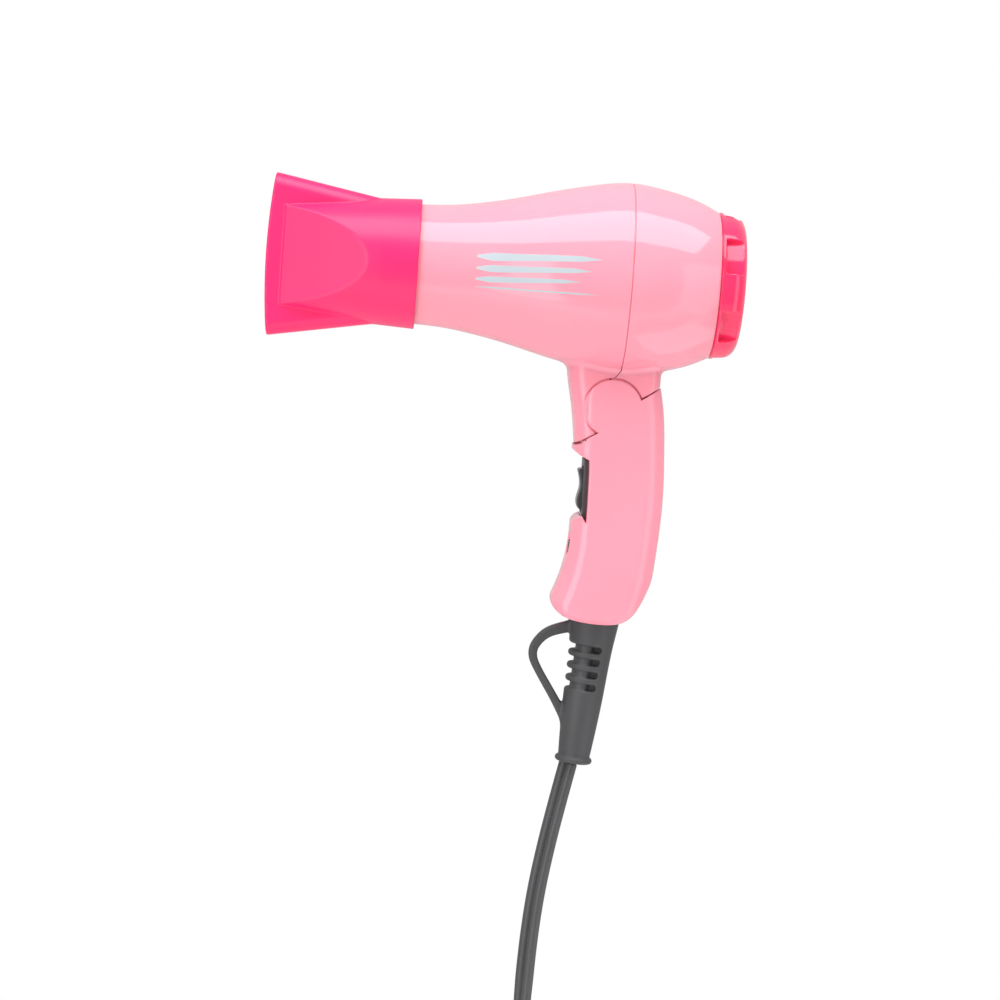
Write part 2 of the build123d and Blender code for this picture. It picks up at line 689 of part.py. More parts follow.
def tube(points, radius):
    """A round cord: straight runs joined by tangent arcs."""
    runs = [Vector(*b) - Vector(*a) for a, b in zip(points, points[1:])]
    radii = []
    for one, two in zip(runs, runs[1:]):
        turn = radians(one.get_angle(two))
        radii.append(0.45 * min(one.length, two.length) / tan(turn / 2))
    print("bend radii", [round(r) for r in radii])
    path = FilletPolyline(*points, radius=radii) if radii else Line(*points)
    section = Plane(origin=path @ 0, z_dir=path % 0) * Circle(radius)
    solid = sweep(section, path)
    expected = path.length * pi * radius ** 2
    print("length", round(path.length, 1), "volume", round(solid.volume), "expected", round(expected))
    return solid


def racetrack(radius, run, y0, y1):
    ends = rod_y(radius, y0, y1, HANK_X, HANK_Z + run / 2) + rod_y(radius, y0, y1, HANK_X, HANK_Z - run / 2)
    return ends + block(HANK_X - radius, HANK_X + radius, y0, y1, HANK_Z - run / 2, HANK_Z + run / 2)


def cord_hank():
    outer = racetrack(HANK_OUT, HANK_RUN, -HANK_HALF, HANK_HALF)
    return outer - racetrack(HANK_IN, HANK_RUN, -HANK_HALF - 1, HANK_HALF + 1)


def cord_tie():
    """Strap round both runs of the hank."""
    half = HANK_OUT + 0.1
    deep = HANK_HALF + 0.1
    band = block(HANK_X - half - 1.2, HANK_X + half + 1.2, -deep - 1.2, deep + 1.2, HANK_Z - 8, HANK_Z + 8)
    return band - block(HANK_X - half, HANK_X + half, -deep, deep, HANK_Z - 9, HANK_Z + 9)


def at_plug(x, y, z):
    return Pos(EXIT_X + x, y, PLUG_Z + z)


def plug_relief():
    top = at_plug(0, 0, 0) * RectangleRounded(11.5, 8, 3)
    bottom = at_plug(0, 0, -24) * RectangleRounded(16, 12, 4)
    return loft([top, bottom]) - rod_z(CORD_SOLID_R + 0.2, PLUG_Z - 4, PLUG_Z + 1, EXIT_X)


def plug_half(front):
    """Front (-Y) half carries the buttons, rear half the blades' seat."""
    body = at_plug(0, 0, -46) * Box(38, 27, 44)
    body = fillet(body.edges().filter_by(Axis.Z), 5.0)
    body = fillet(body.edges().group_by(Axis.Z)[0] + body.edges().group_by(Axis.Z)[-1], 1.6)
    body = body - at_plug(0, 0, -46) * Box(34, 23, 40)
    y0 = -20 if front else 0
    half = body & block(EXIT_X - 40, EXIT_X + 40, y0, y0 + 20, PLUG_Z - 90, PLUG_Z + 10)
    if front:
        half = half - button_hole(7.0) - button_hole(-7.0)
    else:
        for side in (-1, 1):
            half = half - (at_plug(side * 6.35, 3.5, -67) * Box(1.9, 6.7, 8))
    return half


def button_hole(x):
    return at_plug(x, -12, -40) * Box(7.2, 8, 11.2)


def plug_button(x):
    face = at_plug(x, -12.6, -40) * Box(6.8, 5.0, 10.8)
    flange = at_plug(x, -10.6, -40) * Box(9.0, 1.0, 13.0)
    return face + flange


def plug_blades():
    blades = []
    for x in (-6.35, 6.35):
        hole = at_plug(x, 3.5, -81.5) * Rot(0, 90, 0) * Cylinder(1.55, 4)
        blades.append(at_plug(x, 3.5, -72.2) * Box(1.6, 6.35, 26) - hole)
    return blades


def plug_board():
    board = at_plug(0, 5.6, -44) * Box(28, 1.6, 30)
    coil = at_plug(-4, 8.4, -38) * Rot(90, 0, 0) * (Cylinder(6.0, 4.0) - Cylinder(3.2, 5))
    relay = at_plug(8, 8.4, -36) * Box(9, 4.2, 12)
    return board + coil + relay


# ---- write every node ----------------------------------------------------------------------

def main():
    os.makedirs("parts", exist_ok=True)
    body = casing()
    keep("front_shell", front_shell(body))
    keep("rear_shell", rear_shell(body))
    keep("shell_screws", *shell_screws())
    keep("outlet_grille", outlet_grille())
    keep("nozzle", nozzle())
    keep("rear_cap", rear_cap())
    keep("filter_mesh", filter_mesh())
    keep("filter_frame", filter_frame())
    keep("fan_duct", fan_duct())
    keep("fan_impeller", fan_impeller())
    keep("motor_shaft", motor_shaft())
    keep("motor_armature", motor_armature())
    keep("motor_can", motor_can())
    keep("motor_magnets", *motor_magnets())
    keep("motor_end_cap", motor_end_cap())
    keep("rectifier_board", rectifier_board())
    keep("mica_tube", mica_tube())
    keep("mica_board_upright", mica_board(True))
    keep("mica_board_level", *mica_board(False).solids())
    keep("heater_coil", heater_coil())
    keep("heater_frame", heater_frame())
    keep("thermostat", thermostat())
    keep("head_wires", *head_wires())
    whole = handle_front_cuts(handle_body())
    core = handle_block(1.0)
    keep("handle_shell_left", handle_shell(-1, whole, core))
    keep("handle_shell_right", handle_shell(1, whole, core))
    keep("handle_screws", *handle_screws())
    keep("detent_spring", detent_spring())
    keep("rocker_housing", rocker_housing())
    keep("rocker_button", rocker_button())
    keep("slide_housing", slide_housing())
    keep("slide_knob", slide_knob())
    keep("clamp_base", clamp_base())
    keep("cable_clamp", cable_clamp())
    keep("clamp_screws", *clamp_screws())
    keep("supply_wires", *supply_wires())
    keep("cord_boot", cord_boot())
    keep("cord_tube", tube(CORD_ROUTE, CORD_SOLID_R))
    keep("cord_hank", cord_hank())
    keep("cord_tie", cord_tie())
    keep("cord_tail", tube(TAIL_ROUTE, CORD_SOLID_R))
    keep("plug_relief", plug_relief())
    keep("plug_cover", plug_half(True))
    keep("plug_base", plug_half(False))
    keep("plug_blades", *plug_blades())
    keep("plug_board", plug_board())
    keep("plug_test_button", plug_button(-7.0))
    keep("plug_reset_button", plug_button(7.0))


main()
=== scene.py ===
import bpy
import json
import math
import numpy as np
from mathutils import Matrix, Vector


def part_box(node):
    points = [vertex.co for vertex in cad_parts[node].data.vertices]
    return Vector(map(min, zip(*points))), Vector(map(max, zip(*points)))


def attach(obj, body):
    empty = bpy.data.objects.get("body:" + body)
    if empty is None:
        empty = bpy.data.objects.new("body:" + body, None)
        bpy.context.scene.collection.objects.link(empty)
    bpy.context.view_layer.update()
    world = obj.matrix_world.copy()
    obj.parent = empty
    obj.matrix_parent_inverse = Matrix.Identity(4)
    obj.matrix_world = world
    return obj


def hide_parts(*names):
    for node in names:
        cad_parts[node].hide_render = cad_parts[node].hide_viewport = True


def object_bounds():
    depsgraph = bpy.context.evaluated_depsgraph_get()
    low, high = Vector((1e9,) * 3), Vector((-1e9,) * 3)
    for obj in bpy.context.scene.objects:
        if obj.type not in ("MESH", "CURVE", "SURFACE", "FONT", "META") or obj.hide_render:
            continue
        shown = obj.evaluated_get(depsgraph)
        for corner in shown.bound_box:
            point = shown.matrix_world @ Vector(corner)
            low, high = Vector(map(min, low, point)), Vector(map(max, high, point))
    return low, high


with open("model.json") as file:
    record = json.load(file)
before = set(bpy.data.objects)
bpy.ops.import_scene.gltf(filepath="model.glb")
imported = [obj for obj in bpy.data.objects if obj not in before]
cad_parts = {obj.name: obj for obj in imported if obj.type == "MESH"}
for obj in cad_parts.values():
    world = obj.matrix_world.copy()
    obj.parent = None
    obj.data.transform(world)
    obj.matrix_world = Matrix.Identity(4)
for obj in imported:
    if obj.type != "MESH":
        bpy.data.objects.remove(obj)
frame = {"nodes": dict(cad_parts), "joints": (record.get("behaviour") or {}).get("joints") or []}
cad_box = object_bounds()

# Shapes are drawn in millimetres from the barrel: X along its axis from the seam of its two
# casings, + towards the intake, -Y towards the camera, Z up. place() moves them to the shared frame,
# in metres.
SEAM_GAP = 0.35
JOINT = {j["name"]: j for j in frame["joints"]}
ORIGIN = np.array([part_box("front_shell")[1].x + SEAM_GAP / 2000, 0, JOINT["nozzle_turn"]["pos_m"][2]])
HINGE_X, HINGE_Z = [(JOINT["fold_hinge"]["pos_m"][k] - ORIGIN[k]) * 1000 for k in (0, 2)]


def place(points):
    """Millimetres from the barrel to metres in the shared frame."""
    return np.asarray(points, float) / 1000 + ORIGIN


# ---- camera, stage and light ---------------------------------------------------------------

def look():
    """A camera 1.13 m away, level with the barrel and slightly rolled."""
    camera = bpy.data.cameras.new("camera")
    camera.lens = 101.495
    camera.sensor_width = 36
    camera.clip_end = 20
    obj = bpy.data.objects.new("camera", camera)
    bpy.context.scene.collection.objects.link(obj)
    turn = Vector((-7.48137761e-02, -7.10447283e-02, -3.44881615e-02))
    level = Matrix(((1, 0, 0), (0, 0, -1), (0, 1, 0)))
    rotation = Matrix.Rotation(turn.length, 3, turn.normalized()) @ level
    obj.matrix_world = Matrix.Translation(Vector(place((-85.8, -1130.0, -8.59)))) @ rotation.to_4x4()
    bpy.context.scene.camera = obj


def area_light(name, at, target, size, power):
    light = bpy.data.lights.new(name, "AREA")
    light.shape = "RECTANGLE"
    light.size, light.size_y = size
    light.energy = power
    obj = bpy.data.objects.new(name, light)
    obj.location = at
    obj.visible_camera = False
    obj.rotation_euler = (Vector(target) - Vector(at)).to_track_quat("-Z", "Y").to_euler()
    bpy.context.scene.collection.objects.link(obj)


def studio():
    """A world that is white to the camera and a dimmer grey to all other rays, and five softboxes."""
    world = bpy.data.worlds.new("studio")
    bpy.context.scene.world = world
    world.use_nodes = True
    tree = world.node_tree
    tree.nodes.clear()
    out = tree.nodes.new("ShaderNodeOutputWorld")
    back = tree.nodes.new("ShaderNodeBackground")
    coord = tree.nodes.new("ShaderNodeTexCoord")
    split = tree.nodes.new("ShaderNodeSeparateXYZ")
    ramp = tree.nodes.new("ShaderNodeValToRGB")
    tree.links.new(coord.outputs["Generated"], split.inputs[0])
    scale = tree.nodes.new("ShaderNodeMath")
    scale.operation = "MULTIPLY_ADD"
    scale.inputs[1].default_value = 0.5
    scale.inputs[2].default_value = 0.5
    tree.links.new(split.outputs["Y"], scale.inputs[0])
    tree.links.new(scale.outputs[0], ramp.inputs[0])
    stops = [(0.0, 0.33), (0.35, 0.33), (0.6, 0.60), (1.0, 0.66)]
    ramp.color_ramp.elements[0].position, ramp.color_ramp.elements[1].position = stops[0][0], stops[-1][0]
    for _ in stops[1:-1]:
        ramp.color_ramp.elements.new(0.5)
    for element, (position, value) in zip(ramp.color_ramp.elements, stops):
        element.position = position
        element.color = (value, value, value, 1)
    tree.links.new(ramp.outputs[0], back.inputs[0])
    plain = tree.nodes.new("ShaderNodeBackground")
    plain.inputs[0].default_value = (1, 1, 1, 1)
    path = tree.nodes.new("ShaderNodeLightPath")
    choose = tree.nodes.new("ShaderNodeMixShader")
    tree.links.new(path.outputs["Is Camera Ray"], choose.inputs[0])
    tree.links.new(back.outputs[0], choose.inputs[1])
    tree.links.new(plain.outputs[0], choose.inputs[2])
    tree.links.new(choose.outputs[0], out.inputs[0])
    area_light("overhead", (-0.05, -0.36, 0.86), (-0.05, -0.20, 0.1), (1.6, 0.66), 13.5)
    area_light("left_strip", (-0.62, -0.72, 0.0), (0, 0, 0.0), (0.50, 1.1), 4.6)
    area_light("right_strip", (0.70, -0.60, -0.05), (0, 0, 0.0), (0.5, 1.1), 2.3)
    area_light("low_right", (0.28, -0.05, -0.36), (0.03, 0, 0.08), (0.36, 0.3), 0.38)
    area_light("low_fill", (-0.1, -0.5, -0.42), (0, 0, 0.02), (1.2, 0.4), 0.6)


def floor():
    """Plain pale floor a little under the plug."""
    bottom = cad_box[0][2] - 0.012
    verts = [(-0.9, -0.7, bottom), (0.9, -0.7, bottom), (0.9, 0.6, bottom), (-0.9, 0.6, bottom)]
    mesh = bpy.data.meshes.new("floor")
    mesh.from_pydata(verts, [], [(0, 1, 2, 3)])
    obj = bpy.data.objects.new("floor", mesh)
    bpy.context.scene.collection.objects.link(obj)
    mesh.materials.append(plastic("floor_white", (0.86, 0.86, 0.86), 0.7, grain=0.0))


# ---- materials -----------------------------------------------------------------------------

def node(tree, kind, **values):
    made = tree.nodes.new(kind)
    for key, value in values.items():
        if hasattr(made, key):
            setattr(made, key, value)
        else:
            made.inputs[key.replace("_", " ")].default_value = value
    return made


def noise(tree, coord, scale, detail):
    made = node(tree, "ShaderNodeTexNoise", Scale=scale, Detail=detail)
    tree.links.new(coord.outputs["Object"], made.inputs["Vector"])
    return made


def spread(tree, source, low, high):
    """The middle of a noise, stretched from low to high."""
    made = node(tree, "ShaderNodeMapRange")
    made.inputs["From Min"].default_value = 0.3
    made.inputs["From Max"].default_value = 0.7
    made.inputs["To Min"].default_value = low
    made.inputs["To Max"].default_value = high
    tree.links.new(source, made.inputs["Value"])
    return made.outputs["Result"]


MATERIALS = {}


def surface(name):
    material = bpy.data.materials.new(name)
    material.use_nodes = True
    tree = material.node_tree
    shader = tree.nodes["Principled BSDF"]
    return material, tree, shader, tree.nodes.new("ShaderNodeTexCoord")


def tint(colour, factor):
    return tuple(min(1.0, c * factor) for c in colour) + (1.0,)


def varied(tree, coord, shader, colour, change, scale):
    """Base colour that drifts a little across the piece."""
    mix = node(tree, "ShaderNodeMix", data_type="RGBA")
    source = noise(tree, coord, scale, 4.0)
    tree.links.new(spread(tree, source.outputs[0], 0.0, 1.0), mix.inputs[0])
    mix.inputs[6].default_value = tint(colour, 1 - change)
    mix.inputs[7].default_value = tint(colour, 1 + change)
    tree.links.new(mix.outputs[2], shader.inputs["Base Color"])


def bumped(tree, coord, shader, scale, height):
    source = noise(tree, coord, scale, 2.0)
    bump = node(tree, "ShaderNodeBump", Strength=1.0, Distance=height)
    tree.links.new(source.outputs[0], bump.inputs["Height"])
    tree.links.new(bump.outputs[0], shader.inputs["Normal"])


def plastic(name, colour, roughness, grain=0.00001, grain_scale=2500.0, change=0.02, coat=0.0,
            soft=0.0, wear=0.05):
    """Moulded plastic: slight colour drift, polish that varies, and a fine moulded grain."""
    if name in MATERIALS:
        return MATERIALS[name]
    material, tree, shader, coord = surface(name)
    varied(tree, coord, shader, colour, change, 45.0)
    polish = noise(tree, coord, 60.0, 5.0)
    rough = spread(tree, polish.outputs[0], roughness - wear / 2, roughness + wear / 2)
    tree.links.new(rough, shader.inputs["Roughness"])
    shader.inputs["IOR"].default_value = 1.5
    if coat:
        shader.inputs["Coat Weight"].default_value = coat
        shader.inputs["Coat Roughness"].default_value = 0.03
    if soft:
        shader.inputs["Subsurface Weight"].default_value = soft
        shader.inputs["Subsurface Radius"].default_value = (1.0, 0.35, 0.35)
        shader.inputs["Subsurface Scale"].default_value = 0.003
    if grain:
        bumped(tree, coord, shader, grain_scale, grain)
    MATERIALS[name] = material
    return material


def metal(name, colour, roughness, brushed=(1, 1, 1)):
    """Metal with fine lines, drawn out along the axes whose brushed value is small."""
    if name in MATERIALS:
        return MATERIALS[name]
    material, tree, shader, coord = surface(name)
    shader.inputs["Metallic"].default_value = 1.0
    varied(tree, coord, shader, colour, 0.06, 120.0)
    stretch = node(tree, "ShaderNodeMapping")
    stretch.inputs["Scale"].default_value = brushed
    tree.links.new(coord.outputs["Object"], stretch.inputs[0])
    lines = node(tree, "ShaderNodeTexNoise", Scale=900.0, Detail=3.0)
    tree.links.new(stretch.outputs[0], lines.inputs["Vector"])
    rough = spread(tree, lines.outputs[0], roughness - 0.08, roughness + 0.08)
    tree.links.new(rough, shader.inputs["Roughness"])
    bump = node(tree, "ShaderNodeBump", Strength=0.6, Distance=0.00001)
    tree.links.new(lines.outputs[0], bump.inputs["Height"])
    tree.links.new(bump.outputs[0], shader.inputs["Normal"])
    MATERIALS[name] = material
    return material


PALE = (0.96, 0.318, 0.402)
HOT = (0.92, 0.015, 0.148)
ROSE = (0.97, 0.030, 0.130)


def pale_pink():
    return plastic("pale_pink_gloss", PALE, 0.085, grain=0.000002, grain_scale=420.0, soft=0.12,
                   change=0.012, wear=0.03)


def hot_pink():
    return plastic("hot_pink_satin", HOT, 0.37, grain=0.000006, grain_scale=1900.0, soft=0.10)


def rose():
    return plastic("rose_gloss", ROSE, 0.12, grain=0.000002, grain_scale=420.0, soft=0.25, coat=0.3,
                   change=0.03)


def charcoal():
    return plastic("charcoal_rubber", (0.052, 0.052, 0.055), 0.55, grain=0.00002, grain_scale=1500.0,
                   change=0.06, wear=0.12)


def cord_black():
    return plastic("cord_black", (0.060, 0.059, 0.062), 0.42, grain_scale=1200.0, change=0.08, wear=0.12)


def black_gloss():
    return plastic("black_gloss", (0.055, 0.052, 0.056), 0.24, grain=0.000004, grain_scale=900.0,
                   change=0.08)


def black_plastic():
    return plastic("black_plastic", (0.060, 0.054, 0.056), 0.42, grain_scale=1300.0, change=0.08)


# ---- mesh helpers --------------------------------------------------------------------------

LATHE_STEPS = 256


def rows(loops, closed=True, caps=False):
    """Quads between loops of points, as (verts, faces, no normals)."""
    verts = [p for loop in loops for p in loop]
    n = len(loops[0])
    faces = []
    for i in range(len(loops) - 1):
        for j in range(n if closed else n - 1):
            k = (j + 1) % n
            faces.append((i * n + j, i * n + k, (i + 1) * n + k, (i + 1) * n + j))
    if caps:
        faces.append(tuple(range(n))[::-1])
        faces.append(tuple(range((len(loops) - 1) * n, len(loops) * n)))
    return np.array(verts, float), faces, None


def lathe(profile):
    """Turns a closed profile of (x, radius) points about the barrel's axis."""
    angles = np.linspace(0, 2 * math.pi, LATHE_STEPS, endpoint=False)
    loops = []
    for x, r in profile + profile[:1]:
        loops.append([(x, -r * math.cos(a), r * math.sin(a)) for a in angles])
    return rows(loops)


def build(name, parts, material, body, replaces=(), sharp=40):
    """One object from several (verts, faces, normals), with the exact normals where they are given."""
    verts, faces, normals, start = [], [], [], 0
    for v, f, n in parts:
        verts.append(np.asarray(v, float))
        faces += [tuple(int(i) + start for i in face) for face in f]
        normals.append(np.full((len(v), 3), np.nan) if n is None else n)
        start += len(v)
    verts = np.concatenate(verts)
    normals = np.concatenate(normals)
    mesh = bpy.data.meshes.new(name)
    mesh.from_pydata(place(verts).tolist(), [], faces)
    mesh.update()
    mesh.shade_smooth()
    mesh.set_sharp_from_angle(angle=math.radians(sharp))
    if not np.isnan(normals).all():
        corner = np.empty(len(mesh.loops) * 3, np.float32)
        mesh.corner_normals.foreach_get("vector", corner)
        corner = corner.reshape(-1, 3)
        index = np.empty(len(mesh.loops), np.int32)
        mesh.loops.foreach_get("vertex_index", index)
        given = normals[index]
        use = ~np.isnan(given[:, 0])
        corner[use] = given[use]
        mesh.normals_split_custom_set(corner.tolist())
    obj = bpy.data.objects.new(name, mesh)
    bpy.context.scene.collection.objects.link(obj)
    mesh.materials.append(material)
    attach(obj, body)
    if replaces:
        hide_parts(*replaces)
    return obj


def spline(xs, ys, ends=None):
    """Smooth curve through points, as a function. ends are its slopes, or None for free ends."""
    xs, ys = np.asarray(xs, float), np.asarray(ys, float)
    n = len(xs)
    h, rise = np.diff(xs), np.diff(ys)
    m, b = np.zeros((n, n)), np.zeros(n)
    for i in range(1, n - 1):
        m[i, i - 1], m[i, i], m[i, i + 1] = 1 / h[i - 1], 2 / h[i - 1] + 2 / h[i], 1 / h[i]
        b[i] = 3 * (rise[i - 1] / h[i - 1] ** 2 + rise[i] / h[i] ** 2)
    if ends:
        m[0, 0], m[-1, -1], b[0], b[-1] = 1, 1, ends[0], ends[1]
    else:
        m[0, 0], m[0, 1], b[0] = 2, 1, 3 * rise[0] / h[0]
        m[-1, -1], m[-1, -2], b[-1] = 2, 1, 3 * rise[-1] / h[-1]
    slope = np.linalg.solve(m, b)

    def curve(x):
        x = np.asarray(x, float)
        i = np.clip(np.searchsorted(xs, x) - 1, 0, n - 2)
        t = (x - xs[i]) / h[i]
        inside = np.clip(t, 0, 1)
        a, c = ys[i], ys[i + 1]
        value = (a * (1 + 2 * inside) * (1 - inside) ** 2 + c * inside ** 2 * (3 - 2 * inside)
                 + h[i] * (slope[i] * inside * (1 - inside) ** 2 - slope[i + 1] * inside ** 2 * (1 - inside)))
        before = np.where(t < 0, t * h[i] * slope[i], 0)
        after = np.where(t > 1, (t - 1) * h[i] * slope[i + 1], 0)
        return value + before + after
    return curve


# ---- shapes as distance fields -------------------------------------------------------------

def length(*parts):
    return np.sqrt(sum(p * p for p in parts))


def both(a, b, r=0.01):
    """Where a and b overlap, with an edge of radius r."""
    return np.minimum(-r, np.maximum(a, b)) + length(np.maximum(r + a, 0), np.maximum(r + b, 0))


def either(a, b, r=0.01):
    """a and b together, with a fillet of radius r."""
    return np.maximum(r, np.minimum(a, b)) - length(np.maximum(r - a, 0), np.maximum(r - b, 0))


def without(a, b, r=0.01):
    return both(a, -b, r)


def brick(x, y, z, lo, hi, r=0.0):
    parts = [np.abs(p - (a + b) / 2) - (b - a) / 2 + r for p, a, b in zip((x, y, z), lo, hi)]
    outside = length(*[np.maximum(p, 0) for p in parts])
    return outside + np.minimum(np.maximum(np.maximum(parts[0], parts[1]), parts[2]), 0) - r


def polygon(u, v, points):
    """Distance to a closed outline in two coordinates."""
    best = np.full(np.shape(u), 1e9)
    inside = np.ones(np.shape(u))
    count = len(points)
    for i in range(count):
        ax, ay = points[i]
        bx, by = points[i - 1]
        ex, ey = bx - ax, by - ay
        wx, wy = u - ax, v - ay
        t = np.clip((wx * ex + wy * ey) / (ex * ex + ey * ey), 0, 1)
        best = np.minimum(best, (wx - ex * t) ** 2 + (wy - ey * t) ** 2)
        c1, c2, c3 = v >= ay, v < by, ex * wy > ey * wx
        flip = (c1 & c2 & c3) | (~c1 & ~c2 & ~c3)
        inside = np.where(flip, -inside, inside)
    return inside * np.sqrt(best)


def net(field, lo, hi, step, whole=None):
    """Surface net of a distance field: verts on the surface, quads, and the field's own normals.
    whole is the field before it was cut at y = 0, so that the cut's edge comes out straight."""
    lo, hi = np.asarray(lo, float), np.asarray(hi, float)
    axes = [lo[k] + step * np.arange(int(np.ceil((hi[k] - lo[k]) / step)) + 1) for k in range(3)]
    grid = np.meshgrid(*axes, indexing="ij")
    d = field(*grid)
    inside = d < 0
    shape = np.array(d.shape) - 1
    corners = [(i, j, k) for i in (0, 1) for j in (0, 1) for k in (0, 1)]
    count = sum(inside[i:shape[0] + i, j:shape[1] + j, k:shape[2] + k].astype(np.int8)
                for i, j, k in corners)
    mixed = (count > 0) & (count < 8)
    index = np.full(shape, -1)
    cells = np.argwhere(mixed)
    index[mixed] = np.arange(len(cells))
    total, hits = np.zeros((len(cells), 3)), np.zeros(len(cells))
    for a in corners:
        for axis in range(3):
            if a[axis]:
                continue
            b = np.array(a)
            b[axis] = 1
            da = d[tuple((cells + a).T)]
            db = d[tuple((cells + b).T)]
            crosses = (da < 0) != (db < 0)
            t = np.where(crosses, da / np.where(crosses, da - db, 1), 0)
            point = np.array(a, float) + t[:, None] * (b - np.array(a))
            total += np.where(crosses[:, None], point, 0)
            hits += crosses
    verts = lo + step * (cells + total / hits[:, None])
    faces = []
    for axis in range(3):
        u, v = [k for k in range(3) if k != axis]
        one = [slice(1, -1)] * 3
        two = [slice(1, -1)] * 3
        one[axis], two[axis] = slice(0, -1), slice(1, None)
        change = inside[tuple(one)] != inside[tuple(two)]
        base = np.argwhere(change) + 1
        base[:, axis] -= 1
        out = inside[tuple(base.T)]
        quad = []
        for du, dv in ((1, 1), (0, 1), (0, 0), (1, 0)):
            c = base.copy()
            c[:, u] -= du
            c[:, v] -= dv
            quad.append(index[tuple(c.T)])
        quad = np.stack(quad, 1)
        flip = out == (axis == 1)
        quad[flip] = quad[flip][:, ::-1]
        faces.append(quad)
    faces = np.concatenate(faces)
    for _ in range(3):
        normal, size = slope_of(field, verts)
        verts = verts - np.clip(field(*verts.T) / size, -step / 2, step / 2)[:, None] * normal
    normal, _ = slope_of(field, verts)
    if whole:
        near = 0.6 * step
        rim = np.flatnonzero((np.abs(verts[:, 1]) < near) & (np.abs(whole(*verts.T)) < near))
        edge = verts[rim]
        edge[:, 1] = 0
        for _ in range(3):
            lean, size = slope_of(whole, edge)
            flat = lean * [1, 0, 1]
            reach = whole(*edge.T) / size / np.maximum((flat ** 2).sum(1), 0.2)
            edge = edge - np.clip(reach, -step, step)[:, None] * flat
        verts[rim], normal[rim] = edge, slope_of(whole, edge)[0]
    return verts, faces.tolist(), normal


def slope_of(field, verts):
    """The way a field rises fastest at each point, and how fast."""
    h = 0.03
    parts = []
    for k in range(3):
        shift = np.zeros(3)
        shift[k] = h
        parts.append(field(*(verts + shift).T) - field(*(verts - shift).T))
    slope = np.stack(parts, 1) / (2 * h)
    size = np.maximum(np.linalg.norm(slope, axis=1), 1e-6)
    return slope / size[:, None], size


# ---- barrel --------------------------------------------------------------------------------

WALL = 2.0
NOSE_X, TAIL_X = -97.0, 35.2
BARREL = spline([NOSE_X, -83, -72, -60, -46, -32, -17, -6, 0, 10, 20, 29, TAIL_X],
                [23.5, 23.9, 24.5, 26.2, 29.1, 32.7, 36.1, 38.0, 38.3, 37.2, 35.1, 32.1, 29.1], (0.02, -0.52))
NECK_HALF = 13.3
NECK_FRONT_R, NECK_BACK_R = 6.0, 5.0
CROWN = 1.6               # how far the front face of neck and handle falls back at its sides
NECK_FRONT = spline([-68, -51, -40, -22], [-15.8, -18.2, -20.4, -21.3])
NECK_BACK = 16.4
FLARE = 3.7               # fillet between neck and barrel
GROOVE_R = 37.8           # floor of the seam groove
EDGE_R = 0.3              # rounding of the casings' edges
REBATE_X = -1.4           # how far the rear casing's lip reaches into the front one
DRUM_R = 11.0             # drum that turns between the handle's cheeks


def shell_edge(x, inward):
    """Rounded edge at the seam, from the outside in; inward is the way into the casing."""
    edge = []
    for a in np.linspace(0, math.pi / 2, 5):
        level = float(BARREL(x)) - EDGE_R * (1 - math.cos(a))
        edge.append((x + inward * EDGE_R * (1 - math.sin(a)), level))
    return edge


def front_barrel():
    """The barrel's front casing, open at the nose, with a rebate for the rear one's lip."""
    end = -SEAM_GAP / 2
    outer = [(x, float(BARREL(x))) for x in np.linspace(NOSE_X + EDGE_R, end - EDGE_R, 90)]
    rebate = [(end, GROOVE_R), (REBATE_X, GROOVE_R)]
    inner = rebate + [(x, float(BARREL(x)) - WALL) for x in np.linspace(REBATE_X, NOSE_X, 40)]
    nose = [(NOSE_X, float(BARREL(NOSE_X)) - EDGE_R)]
    return lathe(outer + shell_edge(end, -1) + inner + nose)


def rear_barrel():
    """The barrel's rear casing, with its seat for the cap and its lip."""
    start = SEAM_GAP / 2
    outer = [(x, float(BARREL(x))) for x in np.linspace(start + EDGE_R, TAIL_X - 0.4, 50)]
    rim = float(BARREL(TAIL_X))
    tail = [(TAIL_X - 0.1, rim - 0.1), (TAIL_X, rim - 0.5), (TAIL_X, 25.7), (TAIL_X - 3.4, 25.7),
            (TAIL_X - 3.4, 27.2), (28.6, 29.0), (27.0, 31.0)]
    inner = [(x, float(BARREL(x)) - WALL) for x in np.linspace(24.0, 3.0, 12)]
    lip = [(2.0, 34.8), (-1.2, 34.8), (-1.2, GROOVE_R - 0.06), (start, GROOVE_R - 0.06)]
    return lathe(outer + tail + inner + lip + shell_edge(start, 1)[::-1])


def neck_section(x, y, z):
    front = NECK_FRONT(z) + CROWN * (y / NECK_HALF) ** 2
    return rounded(x, y, front, NECK_BACK, NECK_HALF, NECK_FRONT_R, NECK_BACK_R)


def rounded(x, y, front, back, half, rf, rb):
    """Distance to a rounded rectangle with different corners in front and behind."""
    middle = (front + back) / 2
    r = np.where(x < middle, rf, rb)
    qx = np.abs(x - middle) - (back - front) / 2 + r
    qy = np.abs(y) - half + r
    return np.minimum(np.maximum(qx, qy), 0) + length(np.maximum(qx, 0), np.maximum(qy, 0)) - r


def seam_at(z):
    """Where the seam runs: straight round the barrel, then aside to the middle of the hinge."""
    return np.interp(z, [-60, -39.8, -36.2, 0], [HINGE_X - 0.4, HINGE_X - 0.4, 0, 0])


def half_outline(front, z, grow):
    """Half the neck's outline from seam to seam, at a height for each point, grown outwards."""
    r = NECK_FRONT_R if front else NECK_BACK_R
    side = -1 if front else 1
    run, turn, across = OUTLINE
    y = (NECK_HALF - r) * (1 - across) + (r + grow) * np.cos(turn)
    far = NECK_FRONT(z) + CROWN * (y / NECK_HALF) ** 2 + r if front else NECK_BACK - r
    split = seam_at(z) + side * SEAM_GAP / 2
    x = split + (far - split) * run + side * (r + grow) * np.sin(turn)
    return x, y * MIRROR


SIDE, CORNER, END = 10, 11, 7             # outline points along a side, round a corner and across


